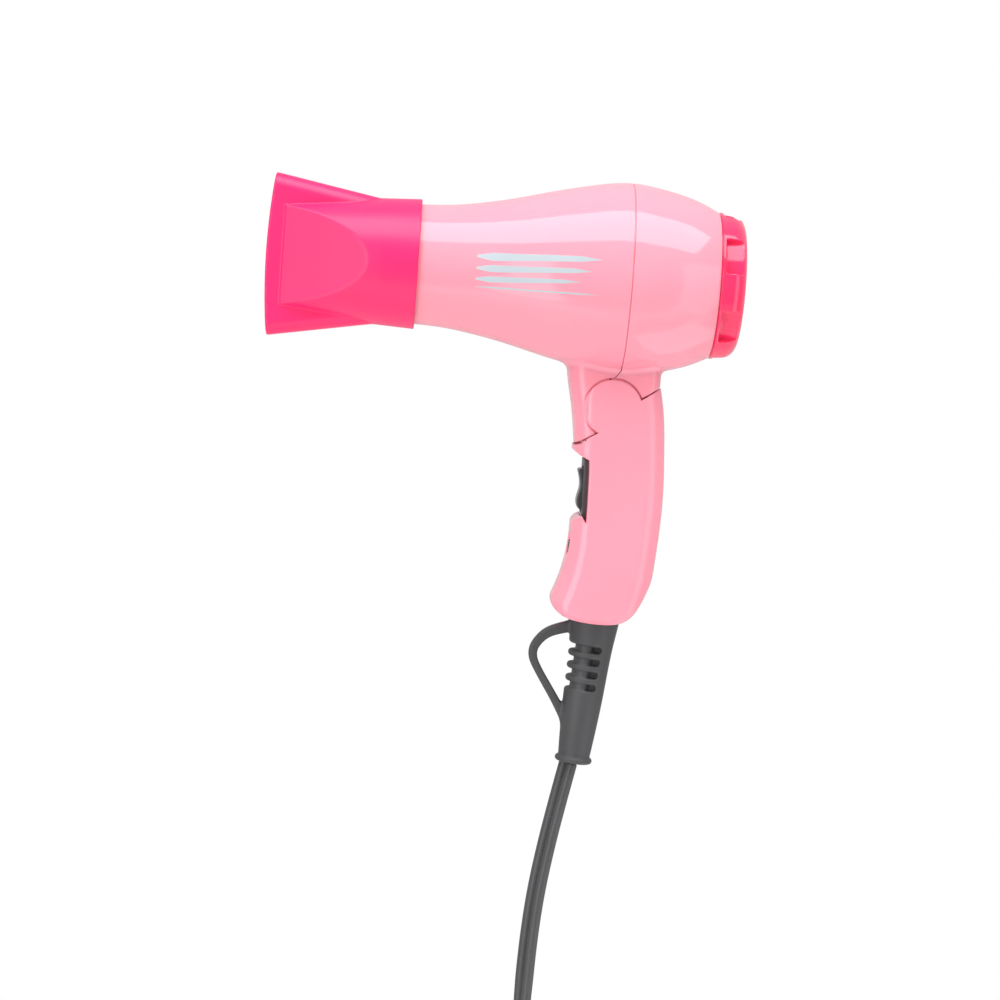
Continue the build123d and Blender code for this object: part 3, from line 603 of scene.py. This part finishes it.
def outline_steps():
    """Where each outline point lies: along the side, round the corner, then across the end."""
    run = np.concatenate([np.linspace(0, 1, SIDE), np.ones(CORNER + END)])
    quarter = np.linspace(0, math.pi / 2, CORNER + 1)[1:]
    turn = np.concatenate([np.zeros(SIDE), quarter, np.full(END, math.pi / 2)])
    across = np.concatenate([np.zeros(SIDE + CORNER), np.linspace(0, 1, END + 1)[1:]])
    return [np.concatenate([part, part[-2::-1]]) for part in (run, turn, across)]


OUTLINE = outline_steps()
MIRROR = np.where(np.arange(len(OUTLINE[0])) < SIDE + CORNER + END, -1.0, 1.0)


def barrel_bottom(x, y):
    r = BARREL(np.clip(x, NOSE_X, TAIL_X))
    return -np.sqrt(np.maximum(r * r - y * y, 1.0))


def flare(front):
    """The fillet between neck and barrel, an arc that ends along the barrel's own slope."""
    z = np.full(len(MIRROR), -37.5)
    for _ in range(4):
        near, far = (barrel_bottom(*half_outline(front, z, g)) for g in (FLARE * 0.7, FLARE * 0.7 + 0.5))
        tilt = np.arctan((far - near) / 0.5)
        reach = FLARE * (1 - np.sin(tilt))
        top = barrel_bottom(*half_outline(front, z, reach))
        z = top - FLARE * np.cos(tilt)
    loops = []
    for step in np.linspace(0, 1, 16):
        angle = (math.pi / 2 - tilt) * step
        level = top - FLARE * (np.cos(tilt) - np.sin(angle)) + (0.03 if step == 1 else 0)
        x, y = half_outline(front, level, FLARE * (1 - np.cos(angle)) + 0.01)
        loops.append(np.stack([x, y, level], 1))
    return rows(loops if front else [loop[::-1] for loop in loops], closed=False)


NECK_LOW = [(-30, -72.3), (-15.9, -66.5), (-6.8, -61.2), (-2, -61.0), (8.6, -47.2), (16.4, -41.9), (30, -33)]


def neck(front):
    """Neck, claw and the drum that turns between the handle's cheeks."""
    def field(x, y, z):
        skin = neck_section(x, y, z)
        low = (np.interp(x, *zip(*NECK_LOW)) - z) * 0.85
        core = both(skin + 2.7, low - 2.0, 0.3)
        d = np.minimum(both(skin, low, 0.5), core)
        radius = length(x - HINGE_X, z - HINGE_Z)
        d = either(d, both(radius - DRUM_R, np.abs(y) - NECK_HALF, 0.4), 0.3)
        groove = both(np.abs(radius - DRUM_R - 0.7) - 0.32, NECK_HALF - 0.7 - np.abs(y), 0.1)
        d = without(d, groove, 0.15)
        step = 1.6 * np.clip((-skin - 0.5) / 0.15, 0, 1)
        side = (x - seam_at(z) + step) * (1 if front else -1) + SEAM_GAP / 2
        return both(d, side, 0.2)
    return net(field, (-23, -14.4, -70), (18, 14.4, -35.5), 0.42)


def casings():
    pink = pale_pink()
    front = [front_barrel(), flare(True), neck(True)]
    rear = [rear_barrel(), flare(False), neck(False)]
    build("front_casing", front, pink, "head", ["front_shell"])
    build("rear_casing", rear, pink, "head", ["rear_shell"])


# ---- handle --------------------------------------------------------------------------------

LEVELS = [-141, -130, -122, -112, -100, -84, -68, -50, -36]
HANDLE_FRONT = spline(LEVELS, [-24.6, -21.4, -18.6, -16.2, -15.2, -15.9, -16.5, -16.7, -16.6])
HANDLE_BACK = spline(LEVELS, [13.2, 16.6, 18.6, 19.8, 20.7, 21.1, 20.3, 18.5, 15.4])
HANDLE_HALF = spline(LEVELS, [14.6, 15.0, 15.1, 14.9, 14.5, 14.4, 14.4, 14.4, 14.4])
FRONT_CORNER = spline(LEVELS, [8.6, 8.4, 7.8, 7.2, 6.8, 6.6, 6.4, 6.2, 6.2])
BACK_CORNER = 8.6
HANDLE_LOW = spline([-21.0, -17.6, -13.5, -6, 2, 9.5, 14.4, 17.6],
                    [-131.8, -134.6, -136.6, -138.0, -138.2, -136.3, -131.5, -125.4])
HANDLE_TOP = [(-40, -82), (-15.8, -67.1), (-6.8, -61.6), (-2, -61), (9.0, -47.6), (17.4, -42.0), (40, -34)]
STRAIGHT_HALF = 14.4      # half the handle's width along its straight upper part
CHEEK_IN = 13.42
EAR_R = 11.4              # round top of the cheeks
SWEEP_R = 20.9            # room for the neck as it folds
NOTCH = [(-40, -72.0), (-16.6, -69.0), (-13.4, -71.1), (-9.9, -72.8), (-9.6, -77.3), (-9.3, -91.5),
         (-9.4, -98.0), (-11.2, -95.0), (-12.8, -95.8), (-14.7, -97.3), (-17.0, -100.4), (-40, -104)]
SCREW_HOLES = [(14.0, -79.0), (11.5, -113.0), (-12.0, -124.5)]


def sampled(curve, z, lo=-150.0, hi=-30.0):
    """A curve read from a fine table, which is quicker on a big grid."""
    levels = np.linspace(lo, hi, 481)
    return np.interp(z, levels, curve(levels))


def handle_skin(x, y, z):
    """Distances to the handle's sides and to its bottom."""
    front = sampled(HANDLE_FRONT, z) + CROWN * (y / STRAIGHT_HALF) ** 2
    half, corner = sampled(HANDLE_HALF, z), sampled(FRONT_CORNER, z)
    side = rounded(x, y, front, sampled(HANDLE_BACK, z), half, corner, BACK_CORNER)
    low = (sampled(HANDLE_LOW, x, -40, 40) - z) * 0.86
    return side, low


def handle_half(side):
    """One half of the hollow handle: side is -1 for the near one and 1 for the far one with the screws."""
    def field(x, y, z):
        skin, low = handle_skin(x, y, z)
        d = both(skin, low, 3.4)
        radius = length(x - HINGE_X, z - HINGE_Z)
        ear = radius - EAR_R
        top = np.minimum((z - np.interp(x, *zip(*HANDLE_TOP))) * 0.85 - 0.2, ear)
        d = both(d, top, 0.3)
        notch = polygon(x, z, NOTCH)
        hollow = np.maximum(np.maximum(skin + 2.0, low + 2.2), 1.8 - notch)
        hollow = np.maximum(hollow, -125 - z)
        sweep = both(radius - SWEEP_R, np.abs(y) - CHEEK_IN, 6.2)
        sweep = np.maximum(sweep, x - 11.0)
        d = without(d, np.minimum(hollow, sweep), 0.3)
        d = without(d, notch, 0.5)
        window = brick(x, y, z, (-16, -7.3, -95.5), (-4, 7.3, -75.5))
        dish = both(length(x + 23.6, z + 106.6) - 9.35, np.abs(y) - 7.0, 1.2)
        slot = brick(x, y, z, (-20, -2.3, -112.0), (-9, 2.3, -102.0), 0.3)
        d = without(without(without(d, dish, 0.8), slot, 0.2), window, 0.1)
        u, w = along_boot(x, z)
        d = without(d, both(length(u, y) - 10.35, -2.0 - w), 0.5)
        if side > 0:
            for sx, sz in SCREW_HOLES:
                d = without(d, both(length(x - sx, z - sz) - 3.0, 7.9 - y), 0.35)
        return d

    def cut(x, y, z):
        return np.maximum(field(x, y, z), -side * y)
    lo = (-26, -15.6 if side < 0 else -0.6, -140.0)
    hi = (23, 0.6 if side < 0 else 15.6, -38.5)
    return net(cut, lo, hi, 0.5, field)


def handle():
    pink = pale_pink()
    build("handle_left", [handle_half(-1)], pink, "handle", ["handle_shell_left"])
    build("handle_right", [handle_half(1)], pink, "handle", ["handle_shell_right"])


# ---- cable boot ----------------------------------------------------------------------------

BOOT_TILT = math.radians(4.5)
BOOT_TOP = (-2.0, -136.5)
BOOT_SIDE = spline([-57.2, -42.5, -31.0, -9.0, 0.0, 8.0], [6.4, 7.5, 8.1, 9.15, 9.95, 10.0])
BOOT_SLOTS, SLOT_STEP = 4, 5.15
LOOP = [(-8.0, -139.4, 2.4), (-12.5, -140.9, 2.3), (-17.0, -142.3, 2.15), (-20.9, -144.1, 2.0),
        (-24.1, -147.2, 1.85), (-26.0, -151.0, 1.75), (-25.9, -154.2, 1.7), (-24.4, -157.6, 1.6),
        (-19.6, -165.2, 1.6), (-15.2, -172.0, 1.7), (-12.6, -176.2, 1.9), (-9.5, -181.0, 2.2)]


def finer(points, count):
    """More points along a smooth line through these."""
    points = np.array(points)
    along = np.concatenate([[0], np.cumsum(np.hypot(*np.diff(points[:, :2], axis=0).T))])
    spots = np.linspace(0, along[-1], count)
    return np.stack([spline(along, column)(spots) for column in points.T], 1)


LOOP_LINE = finer(LOOP, 48)


def along_boot(x, z):
    """Coordinates across and along the boot's tilted axis, from its top centre."""
    dx, dz = x - BOOT_TOP[0], z - BOOT_TOP[1]
    c, s = math.cos(BOOT_TILT), math.sin(BOOT_TILT)
    return dx * c - dz * s, dx * s + dz * c


def strand(x, z, points):
    """Distance in side view to a strip with changing width."""
    best = np.full(np.shape(x), 1e9)
    for (ax, az, ar), (bx, bz, br) in zip(points, points[1:]):
        ex, ez = bx - ax, bz - az
        t = np.clip(((x - ax) * ex + (z - az) * ez) / (ex * ex + ez * ez), 0, 1)
        best = np.minimum(best, length(x - ax - ex * t, z - az - ez * t) - ar - (br - ar) * t)
    return best


def boot():
    """Tapered boot with flex slots, an end flange, a hanging loop and a hole for the turned cord."""
    def field(x, y, z):
        u, w = along_boot(x, z)
        body = length(u, y) - sampled(BOOT_SIDE, w, -70, 10)
        d = both(both(body, w - 4.0, 0.4), -57.6 - w, 0.4)
        for k in range(BOOT_SLOTS):
            level = w + 12.6 + SLOT_STEP * k
            gap = both(np.abs(level) - 1.3, u - 3.9, 1.0)
            core = np.minimum(length(u + 2.0, y * 0.55) - 4.1, np.maximum(np.abs(y) - 4.8, -2.0 - u))
            gap = both(gap, -core, 0.6)
            d = without(d, gap, 1.15)
        flange = length(np.maximum(length(u, y) - 6.3, 0), w + 58.3) - 1.25
        flange = np.maximum(flange, 3.2 - length(u, y))
        d = either(d, flange, 0.5)
        loop = both(strand(x, z, LOOP_LINE), np.abs(y) - 2.2, 1.1)
        d = either(d, loop, 1.3)
        bore = both(np.abs(u + y) * 0.72 - 2.4, np.abs(u - y) * 0.7 - 4.3, 0.5)
        return without(d, np.maximum(bore, w + 54.0), 0.2)
    return net(field, (-29.5, -11.2, -198.6), (9.5, 11.2, -131.5), 0.45)


# ---- nozzle --------------------------------------------------------------------------------

def nozzle():
    """Collar that narrows to two flat faces, run into a wide flat slab, and hollow throughout."""
    def cone(x, y, z, inset):
        r = np.interp(x, [-137.0, -98.0, -83.2], [21.6, 25.2, 25.9]) - inset
        side = length(y, z) - r
        half = np.interp(x, [-137.0, -101.4, -60], [9.3, 25.6, 44.6]) - inset
        faces = (np.abs(y) - half) * 0.909
        return side, faces

    def fan(x, y, z, inset):
        tip = np.interp(x, [-141.6, -98.5], [32.4, 24.8]) - inset
        sides = (np.abs(z) - tip) * 0.985
        r = 6.0 - inset
        d = both(sides, np.abs(y) - 8.9 + inset, r)
        lip = (-143.6 + 2.0 * (z / 32.4) ** 2) - x
        return d, lip

    def field(x, y, z):
        side, faces = cone(x, y, z, 0)
        body = both(both(side, faces, 0.35), np.maximum(-137.0 - x, x + 83.2), 0.35)
        slab, lip = fan(x, y, z, 0)
        slab = both(both(slab, lip, 0.75), x + 98.5, 0.3)
        d = either(body, slab, 0.35)
        inner, inner_faces = cone(x, y, z, 1.9)
        hole = both(both(inner, inner_faces, 0.5), np.maximum(-136.2 - x, x + 97.4), 0.3)
        throat, _ = fan(x, y, z, 1.8)
        hole = np.minimum(hole, both(throat, x + 100.0, 0.4))
        hole = np.minimum(hole, both(length(y, z) - 24.1, -98.0 - x, 0.3))
        return without(d, hole, 0.3)
    return net(field, (-144.6, -26.8, -33.4), (-82.4, 26.8, 33.4), 0.55)


# ---- rear cap ------------------------------------------------------------------------------

GRILLE = [(4.0, 8.6, 6), (10.0, 14.6, 12), (16.0, 20.4, 18)]      # inner and outer radius, slots


def rear_cap():
    """Domed intake cap with six finger pockets round its rim and three rings of air slots."""
    def field(x, y, z):
        r = length(y, z)
        rib = both(r - 29.35 + 0.09 * (x - 35.6), x - 46.6 + 0.0016 * r * r, 5.0)
        angle = np.degrees(np.arctan2(z, -y))
        turn = np.abs((angle - 25.0 + 30.0) % 60.0 - 30.0)
        sector = (turn - 15.0) * np.pi / 180 * r
        gap = both(np.maximum(26.6 - r, sector), np.maximum(36.9 - x, x - 44.3 + 0.004 * sector ** 2), 0.9)
        d = without(rib, gap, 0.35)
        d = both(d, 35.6 - x, 0.3)
        d = np.minimum(d, np.maximum(np.abs(r - 27.4) - 1.35, np.abs(x - 36.0) - 0.72))
        inside = both(r - 25.4 + 0.1 * (x - 35), x - 44.5 + 0.0016 * r * r, 5.0)
        d = without(d, inside, 0.3)
        for inner, outer, count in GRILLE:
            phase = (angle % (360 / count)) - 180 / count
            rib_width = (np.abs(phase) * np.pi / 180 * r) - 0.9
            ring = np.abs(r - (inner + outer) / 2) - (outer - inner) / 2
            d = without(d, both(both(ring, -rib_width, 0.3), 42.0 - x, 0.1), 0.25)
        return d
    return net(field, (35.0, -30, -30), (48.6, 30, 30), 0.42)


# ---- switches ------------------------------------------------------------------------------

def rocker_case():
    """Bezel plate and the case behind it, with the well that the rocker sits in."""
    outline = [(-11.55, -72.6), (-9.4, -73.2), (-9.1, -91.5), (-9.3, -97.6), (-11.1, -94.9)]

    def field(x, y, z):
        plate = polygon(x, z, outline)
        bezel = both(plate, np.abs(y) - 8.6, 0.4)
        case = brick(x, y, z, (-10.0, -7.0, -95.3), (2.9, 7.0, -75.7), 0.5)
        well = brick(x, y, z, (-14.0, -5.2, -93.9), (-3.0, 5.2, -75.9), 0.3)
        return without(np.minimum(bezel, case), well, 0.3)
    return net(field, (-12.4, -9.4, -99), (3.6, 9.4, -71.6), 0.35)


def rocker_paddle():
    """Rocker with a waved face and a round back about its pivot."""
    face = spline([-92.4, -90.2, -84.6, -80.0, -76.6], [-12.75, -13.3, -12.35, -12.75, -13.75])

    def field(x, y, z):
        d = both(face(z) - x, np.abs(y) - 4.9, 0.6)
        ends = np.maximum(-93.0 - z + np.maximum(-11.8 - x, 0) * 0.4, z + 76.5)
        d = both(d, ends, 0.5)
        back = length(x + 8.6, z + 85.2) - 9.4
        return both(d, back, 0.4)
    return net(field, (-14.6, -5.6, -94.4), (1.2, 5.6, -75.4), 0.3)


def slide_thumb():
    """Slider with a ribbed thumb face."""
    outline = [(-15.4, -110.9), (-15.2, -111.3), (-13.2, -111.3), (-13.2, -105.7), (-14.9, -105.7),
               (-15.2, -106.4)]

    def field(x, y, z):
        stem = brick(x, y, z, (-13.6, -1.6, -110.4), (-10.4, 1.6, -106.7), 0.2)
        top = both(polygon(x, z, outline), np.abs(y) - 2.0, 0.3)
        ribs = np.abs((z + 106.0) % 1.1 - 0.55) - 0.2
        top = without(top, both(ribs, x + 14.9, 0.05), 0.1)
        return np.minimum(stem, top)
    return net(field, (-16.4, -2.6, -112), (-9.9, 2.6, -105), 0.2)


# ---- cord ----------------------------------------------------------------------------------

CORD_WIDTH, CORD_THICK = 8.2, 4.3
CORD_TURN = 50            # degrees that the cord is turned as it leaves the boot
TURNED_TO, FLAT_FROM = 90, 150            # how far along it stays turned, and where it lies flat
HANK_X, HANK_Z, HANK_RUN = 5.0, -384.0, 77.0
LAYERS = (25.0, 29.6, 34.2)
ENTRY_X, EXIT_X, PLUG_Z = HANK_X - LAYERS[0], HANK_X - LAYERS[1], -470.0
CORD_ROUTE = [(-8.5, 0, -196.4), (-11.6, 0, -212.0), (-15.2, 0, -232.0), (-18.0, 0, -252.0),
              (-19.4, 0, -272.0), (ENTRY_X, 0, -293.0), (ENTRY_X - 0.1, 0, HANK_Z + 64.0)]
TAIL_ROUTE = [(EXIT_X, 0, HANK_Z - 58.0), (EXIT_X - 0.1, 0, PLUG_Z - 4.0)]


# Each turn of the hank: layer, y on the way down, y on the way up, then the next layer and its y.
HANK_TURNS = [(0, 0.0, 0.0, 0, 9.0), (0, 9.0, 9.0, 1, 9.0), (1, 9.0, -9.0, 1, -9.0),
              (1, -9.0, -9.0, 0, -9.0), (0, -9.0, -9.0, 2, -9.0)]


def ease(t):
    return t * t * (3 - 2 * t)


def hank_points():
    """The hank's turns: down the left, round the bottom, up the right, round the top."""
    grow = 1 / (0.75 + 0.25 * math.cos(math.radians(30)))
    half = HANK_RUN / 2
    points = []

    def arc(way, layer_from, layer_to, y_from, y_to):
        """Half a turn, over the top when way is 1 and round the bottom when it is -1."""
        for k in range(7):
            t = k / 6
            blend, shift = ease(t), ease(min(1.0, t * 1.6))
            r = LAYERS[layer_from] * (1 - blend) + LAYERS[layer_to] * blend
            r *= grow if 0 < k < 6 else 1.0
            a = math.radians(180 * t)
            points.append((HANK_X + way * r * math.cos(a), y_from + (y_to - y_from) * shift,
                           HANK_Z + way * (half + math.sin(a) * r)))

    for layer, down_y, up_y, next_layer, next_y in HANK_TURNS:
        left, right = HANK_X - LAYERS[layer], HANK_X + LAYERS[layer]
        points.append((left, down_y, HANK_Z + 12.0))
        points.append((left, down_y, HANK_Z - 14.0))
        arc(-1, layer, layer, down_y, down_y)
        if up_y != down_y:
            for t in (0.2, 0.4, 0.6, 0.8):
                points.append((right, down_y + (up_y - down_y) * t, HANK_Z - half + HANK_RUN * t))
        else:
            points.append((right, up_y, HANK_Z - 12.0))
            points.append((right, up_y, HANK_Z + 14.0))
        arc(1, layer, next_layer, up_y, next_y)
    points[-1] = (HANK_X - LAYERS[2] + 0.6, -8.2, HANK_Z + half)
    points.append((HANK_X - LAYERS[2] + 2.0, -5.4, HANK_Z + 22.0))
    points.append((EXIT_X - 0.6, -1.6, HANK_Z + 6.0))
    points.append((EXIT_X, 0.0, HANK_Z - 10.0))
    points.append((EXIT_X, 0.0, HANK_Z - 30.0))
    return points


def smooth_line(points):
    """Points along the NURBS curve that has these control points."""
    curve = bpy.data.curves.new("route", "CURVE")
    curve.dimensions = "3D"
    line = curve.splines.new("NURBS")
    line.points.add(len(points) - 1)
    for p, target in zip(points, line.points):
        target.co = (*place(p), 1.0)
    line.order_u = 3
    line.use_endpoint_u = True
    line.resolution_u = 8
    holder = bpy.data.objects.new("route", curve)
    bpy.context.scene.collection.objects.link(holder)
    bpy.context.view_layer.update()
    mesh = bpy.data.meshes.new_from_object(holder)
    path = np.array([v.co for v in mesh.vertices])
    bpy.data.objects.remove(holder)
    bpy.data.meshes.remove(mesh)
    bpy.data.curves.remove(curve)
    keep = [0]
    for i in range(1, len(path)):
        if np.linalg.norm(path[i] - path[keep[-1]]) > 0.0012:
            keep.append(i)
    return path[keep]


def cord_section():
    """Two round cores side by side with a groove between, as (across, through) points."""
    points = []
    core = CORD_THICK / 2
    offset = CORD_WIDTH / 2 - core
    for side in (1, -1):
        for a in np.linspace(-150, 150, 17):
            t = math.radians(a)
            points.append((side * (offset + core * math.cos(t)), side * core * math.sin(t)))
    return np.array(points)


def flat_cord():
    """The flat cord from the boot to the plug, twisting as it leaves and then lying flat in the hank."""
    path = smooth_line(CORD_ROUTE + hank_points() + TAIL_ROUTE)
    millimetres = (path - ORIGIN) * 1000
    steps = np.linalg.norm(np.diff(millimetres, axis=0), axis=1)
    along = np.concatenate([[0], np.cumsum(steps)])
    tangent = np.gradient(millimetres, axis=0)
    tangent /= np.linalg.norm(tangent, axis=1)[:, None]
    wide = np.array([0.0, 1.0, 0.0]) - tangent * tangent[:, 1:2]
    wide /= np.linalg.norm(wide, axis=1)[:, None]
    thin = np.cross(tangent, wide)
    section = cord_section()
    loops = []
    for p, w, t, s in zip(millimetres, wide, thin, along):
        twist = -math.radians(CORD_TURN) * (1 - np.clip((s - TURNED_TO) / (FLAT_FROM - TURNED_TO), 0, 1))
        u = w * math.cos(twist) + t * math.sin(twist)
        v = t * math.cos(twist) - w * math.sin(twist)
        loops.append([p + a * u + b * v for a, b in section])
    obj = build("flat_cord", [rows(loops, caps=True)], cord_black(), "handle",
                ["cord_tube", "cord_hank", "cord_tail"], sharp=50)
    return obj, path, along[-1] / 1000


# ---- printed mark --------------------------------------------------------------------------

def stroke(x0, x1, z_mid, tall0, tall1, sweep):
    """A thin tapered stroke of paint on the barrel's near side."""
    loops = []
    for t in np.linspace(0, 1, 30):
        x = x0 + (x1 - x0) * t
        middle = z_mid + sweep * math.sin(math.pi * (t - 0.5) * 0.9)
        half = (tall0 + (tall1 - tall0) * t) / 2 * min(1.0, 6 * t + 0.25, 6 * (1 - t) + 0.1)
        levels = middle + half * np.linspace(-1, 1, 5)
        r = float(BARREL(x))
        outer = [(x, -math.sqrt((r + 0.06) ** 2 - z * z), z) for z in levels]
        inner = [(x, -math.sqrt((r - 0.05) ** 2 - z * z), z) for z in levels[::-1]]
        loops.append(outer + inner)
    return rows(loops[::-1], caps=True)


def airflow_mark():
    paint = plastic("mark_silver", (0.46, 0.52, 0.56), 0.34, change=0.05)
    strokes = [stroke(-60.5, -12.5, 5.6, 3.4, 2.0, 0.9), stroke(-60.5, -16.0, 0.9, 3.0, 1.7, 0.8),
               stroke(-60.5, -20.0, -3.4, 2.6, 1.4, 0.7), stroke(-60.5, -12.5, -7.2, 0.7, 0.7, 0.0)]
    build("airflow_mark", strokes, paint, "head")


# ---- pieces that stay as packed, with their finishes ---------------------------------------

def finishes():
    """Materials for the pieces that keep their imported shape."""
    steel = metal("zinc_steel", (0.60, 0.60, 0.62), 0.32)
    white = (0.74, 0.73, 0.70)
    clamp = plastic("clamp_white", white, 0.45, change=0.04)
    mica = plastic("mica", (0.52, 0.40, 0.24), 0.35, change=0.25)
    board = plastic("circuit_board", (0.05, 0.20, 0.10), 0.4, change=0.12)
    table = {
        "shell_screws": steel, "handle_screws": steel, "clamp_screws": steel, "thermostat": steel,
        "motor_can": metal("motor_steel", (0.55, 0.55, 0.56), 0.36, (0.1, 1, 1)),
        "motor_shaft": metal("ground_steel", (0.66, 0.66, 0.68), 0.22, (1, 0.1, 0.1)),
        "motor_armature": metal("laminations", (0.40, 0.33, 0.28), 0.42, (8, 0.3, 0.3)),
        "motor_magnets": plastic("ferrite", (0.05, 0.05, 0.055), 0.6, change=0.15),
        "motor_end_cap": black_plastic(),
        "detent_spring": metal("spring_steel", (0.52, 0.53, 0.56), 0.25, (1, 0.2, 1)),
        "heater_coil": metal("heater_wire", (0.42, 0.38, 0.35), 0.38),
        "filter_mesh": metal("filter_wire", (0.45, 0.45, 0.47), 0.35),
        "plug_blades": metal("nickel", (0.78, 0.76, 0.70), 0.20, (1, 1, 0.1)),
        "fan_impeller": plastic("fan_white", (0.78, 0.77, 0.74), 0.38, change=0.04),
        "fan_duct": plastic("duct_white", white, 0.45, change=0.04),
        "heater_frame": plastic("frame_white", (0.74, 0.72, 0.67), 0.5, change=0.05),
        "clamp_base": clamp, "cable_clamp": clamp,
        "mica_tube": mica, "mica_board_upright": mica, "mica_board_level": mica,
        "rectifier_board": board, "plug_board": board,
        "head_wires": cord_black(), "supply_wires": cord_black(),
        "outlet_grille": black_plastic(), "filter_frame": black_plastic(),
        "slide_housing": black_plastic(), "plug_relief": charcoal(),
        "plug_cover": black_plastic(), "plug_base": black_plastic(),
        "plug_test_button": plastic("test_grey", (0.36, 0.36, 0.38), 0.4, change=0.05),
        "plug_reset_button": plastic("reset_red", (0.62, 0.03, 0.03), 0.32, change=0.05),
        "cord_tie": plastic("tie_black", (0.045, 0.045, 0.047), 0.6, change=0.1),
    }
    for name, material in table.items():
        obj = frame["nodes"][name]
        obj.data.materials.clear()
        obj.data.materials.append(material)
        obj.data.shade_smooth()
        obj.data.set_sharp_from_angle(angle=math.radians(35))


# ---- everything ----------------------------------------------------------------------------

look()
studio()
floor()
cord, cord_path, cord_length = flat_cord()
casings()
airflow_mark()
handle()
build("cable_boot", [boot()], charcoal(), "handle", ["cord_boot"])
build("concentrator", [nozzle()], hot_pink(), "nozzle", ["nozzle"])
build("intake_cap", [rear_cap()], rose(), "rear_cap", ["rear_cap"])
build("rocker_bezel", [rocker_case()], black_plastic(), "handle", ["rocker_housing"])
build("rocker", [rocker_paddle()], black_gloss(), "rocker", ["rocker_button"])
build("slide_thumb", [slide_thumb()], black_gloss(), "slide_knob", ["slide_knob"])
finishes()
bpy.context.scene.view_settings.view_transform = "Standard"
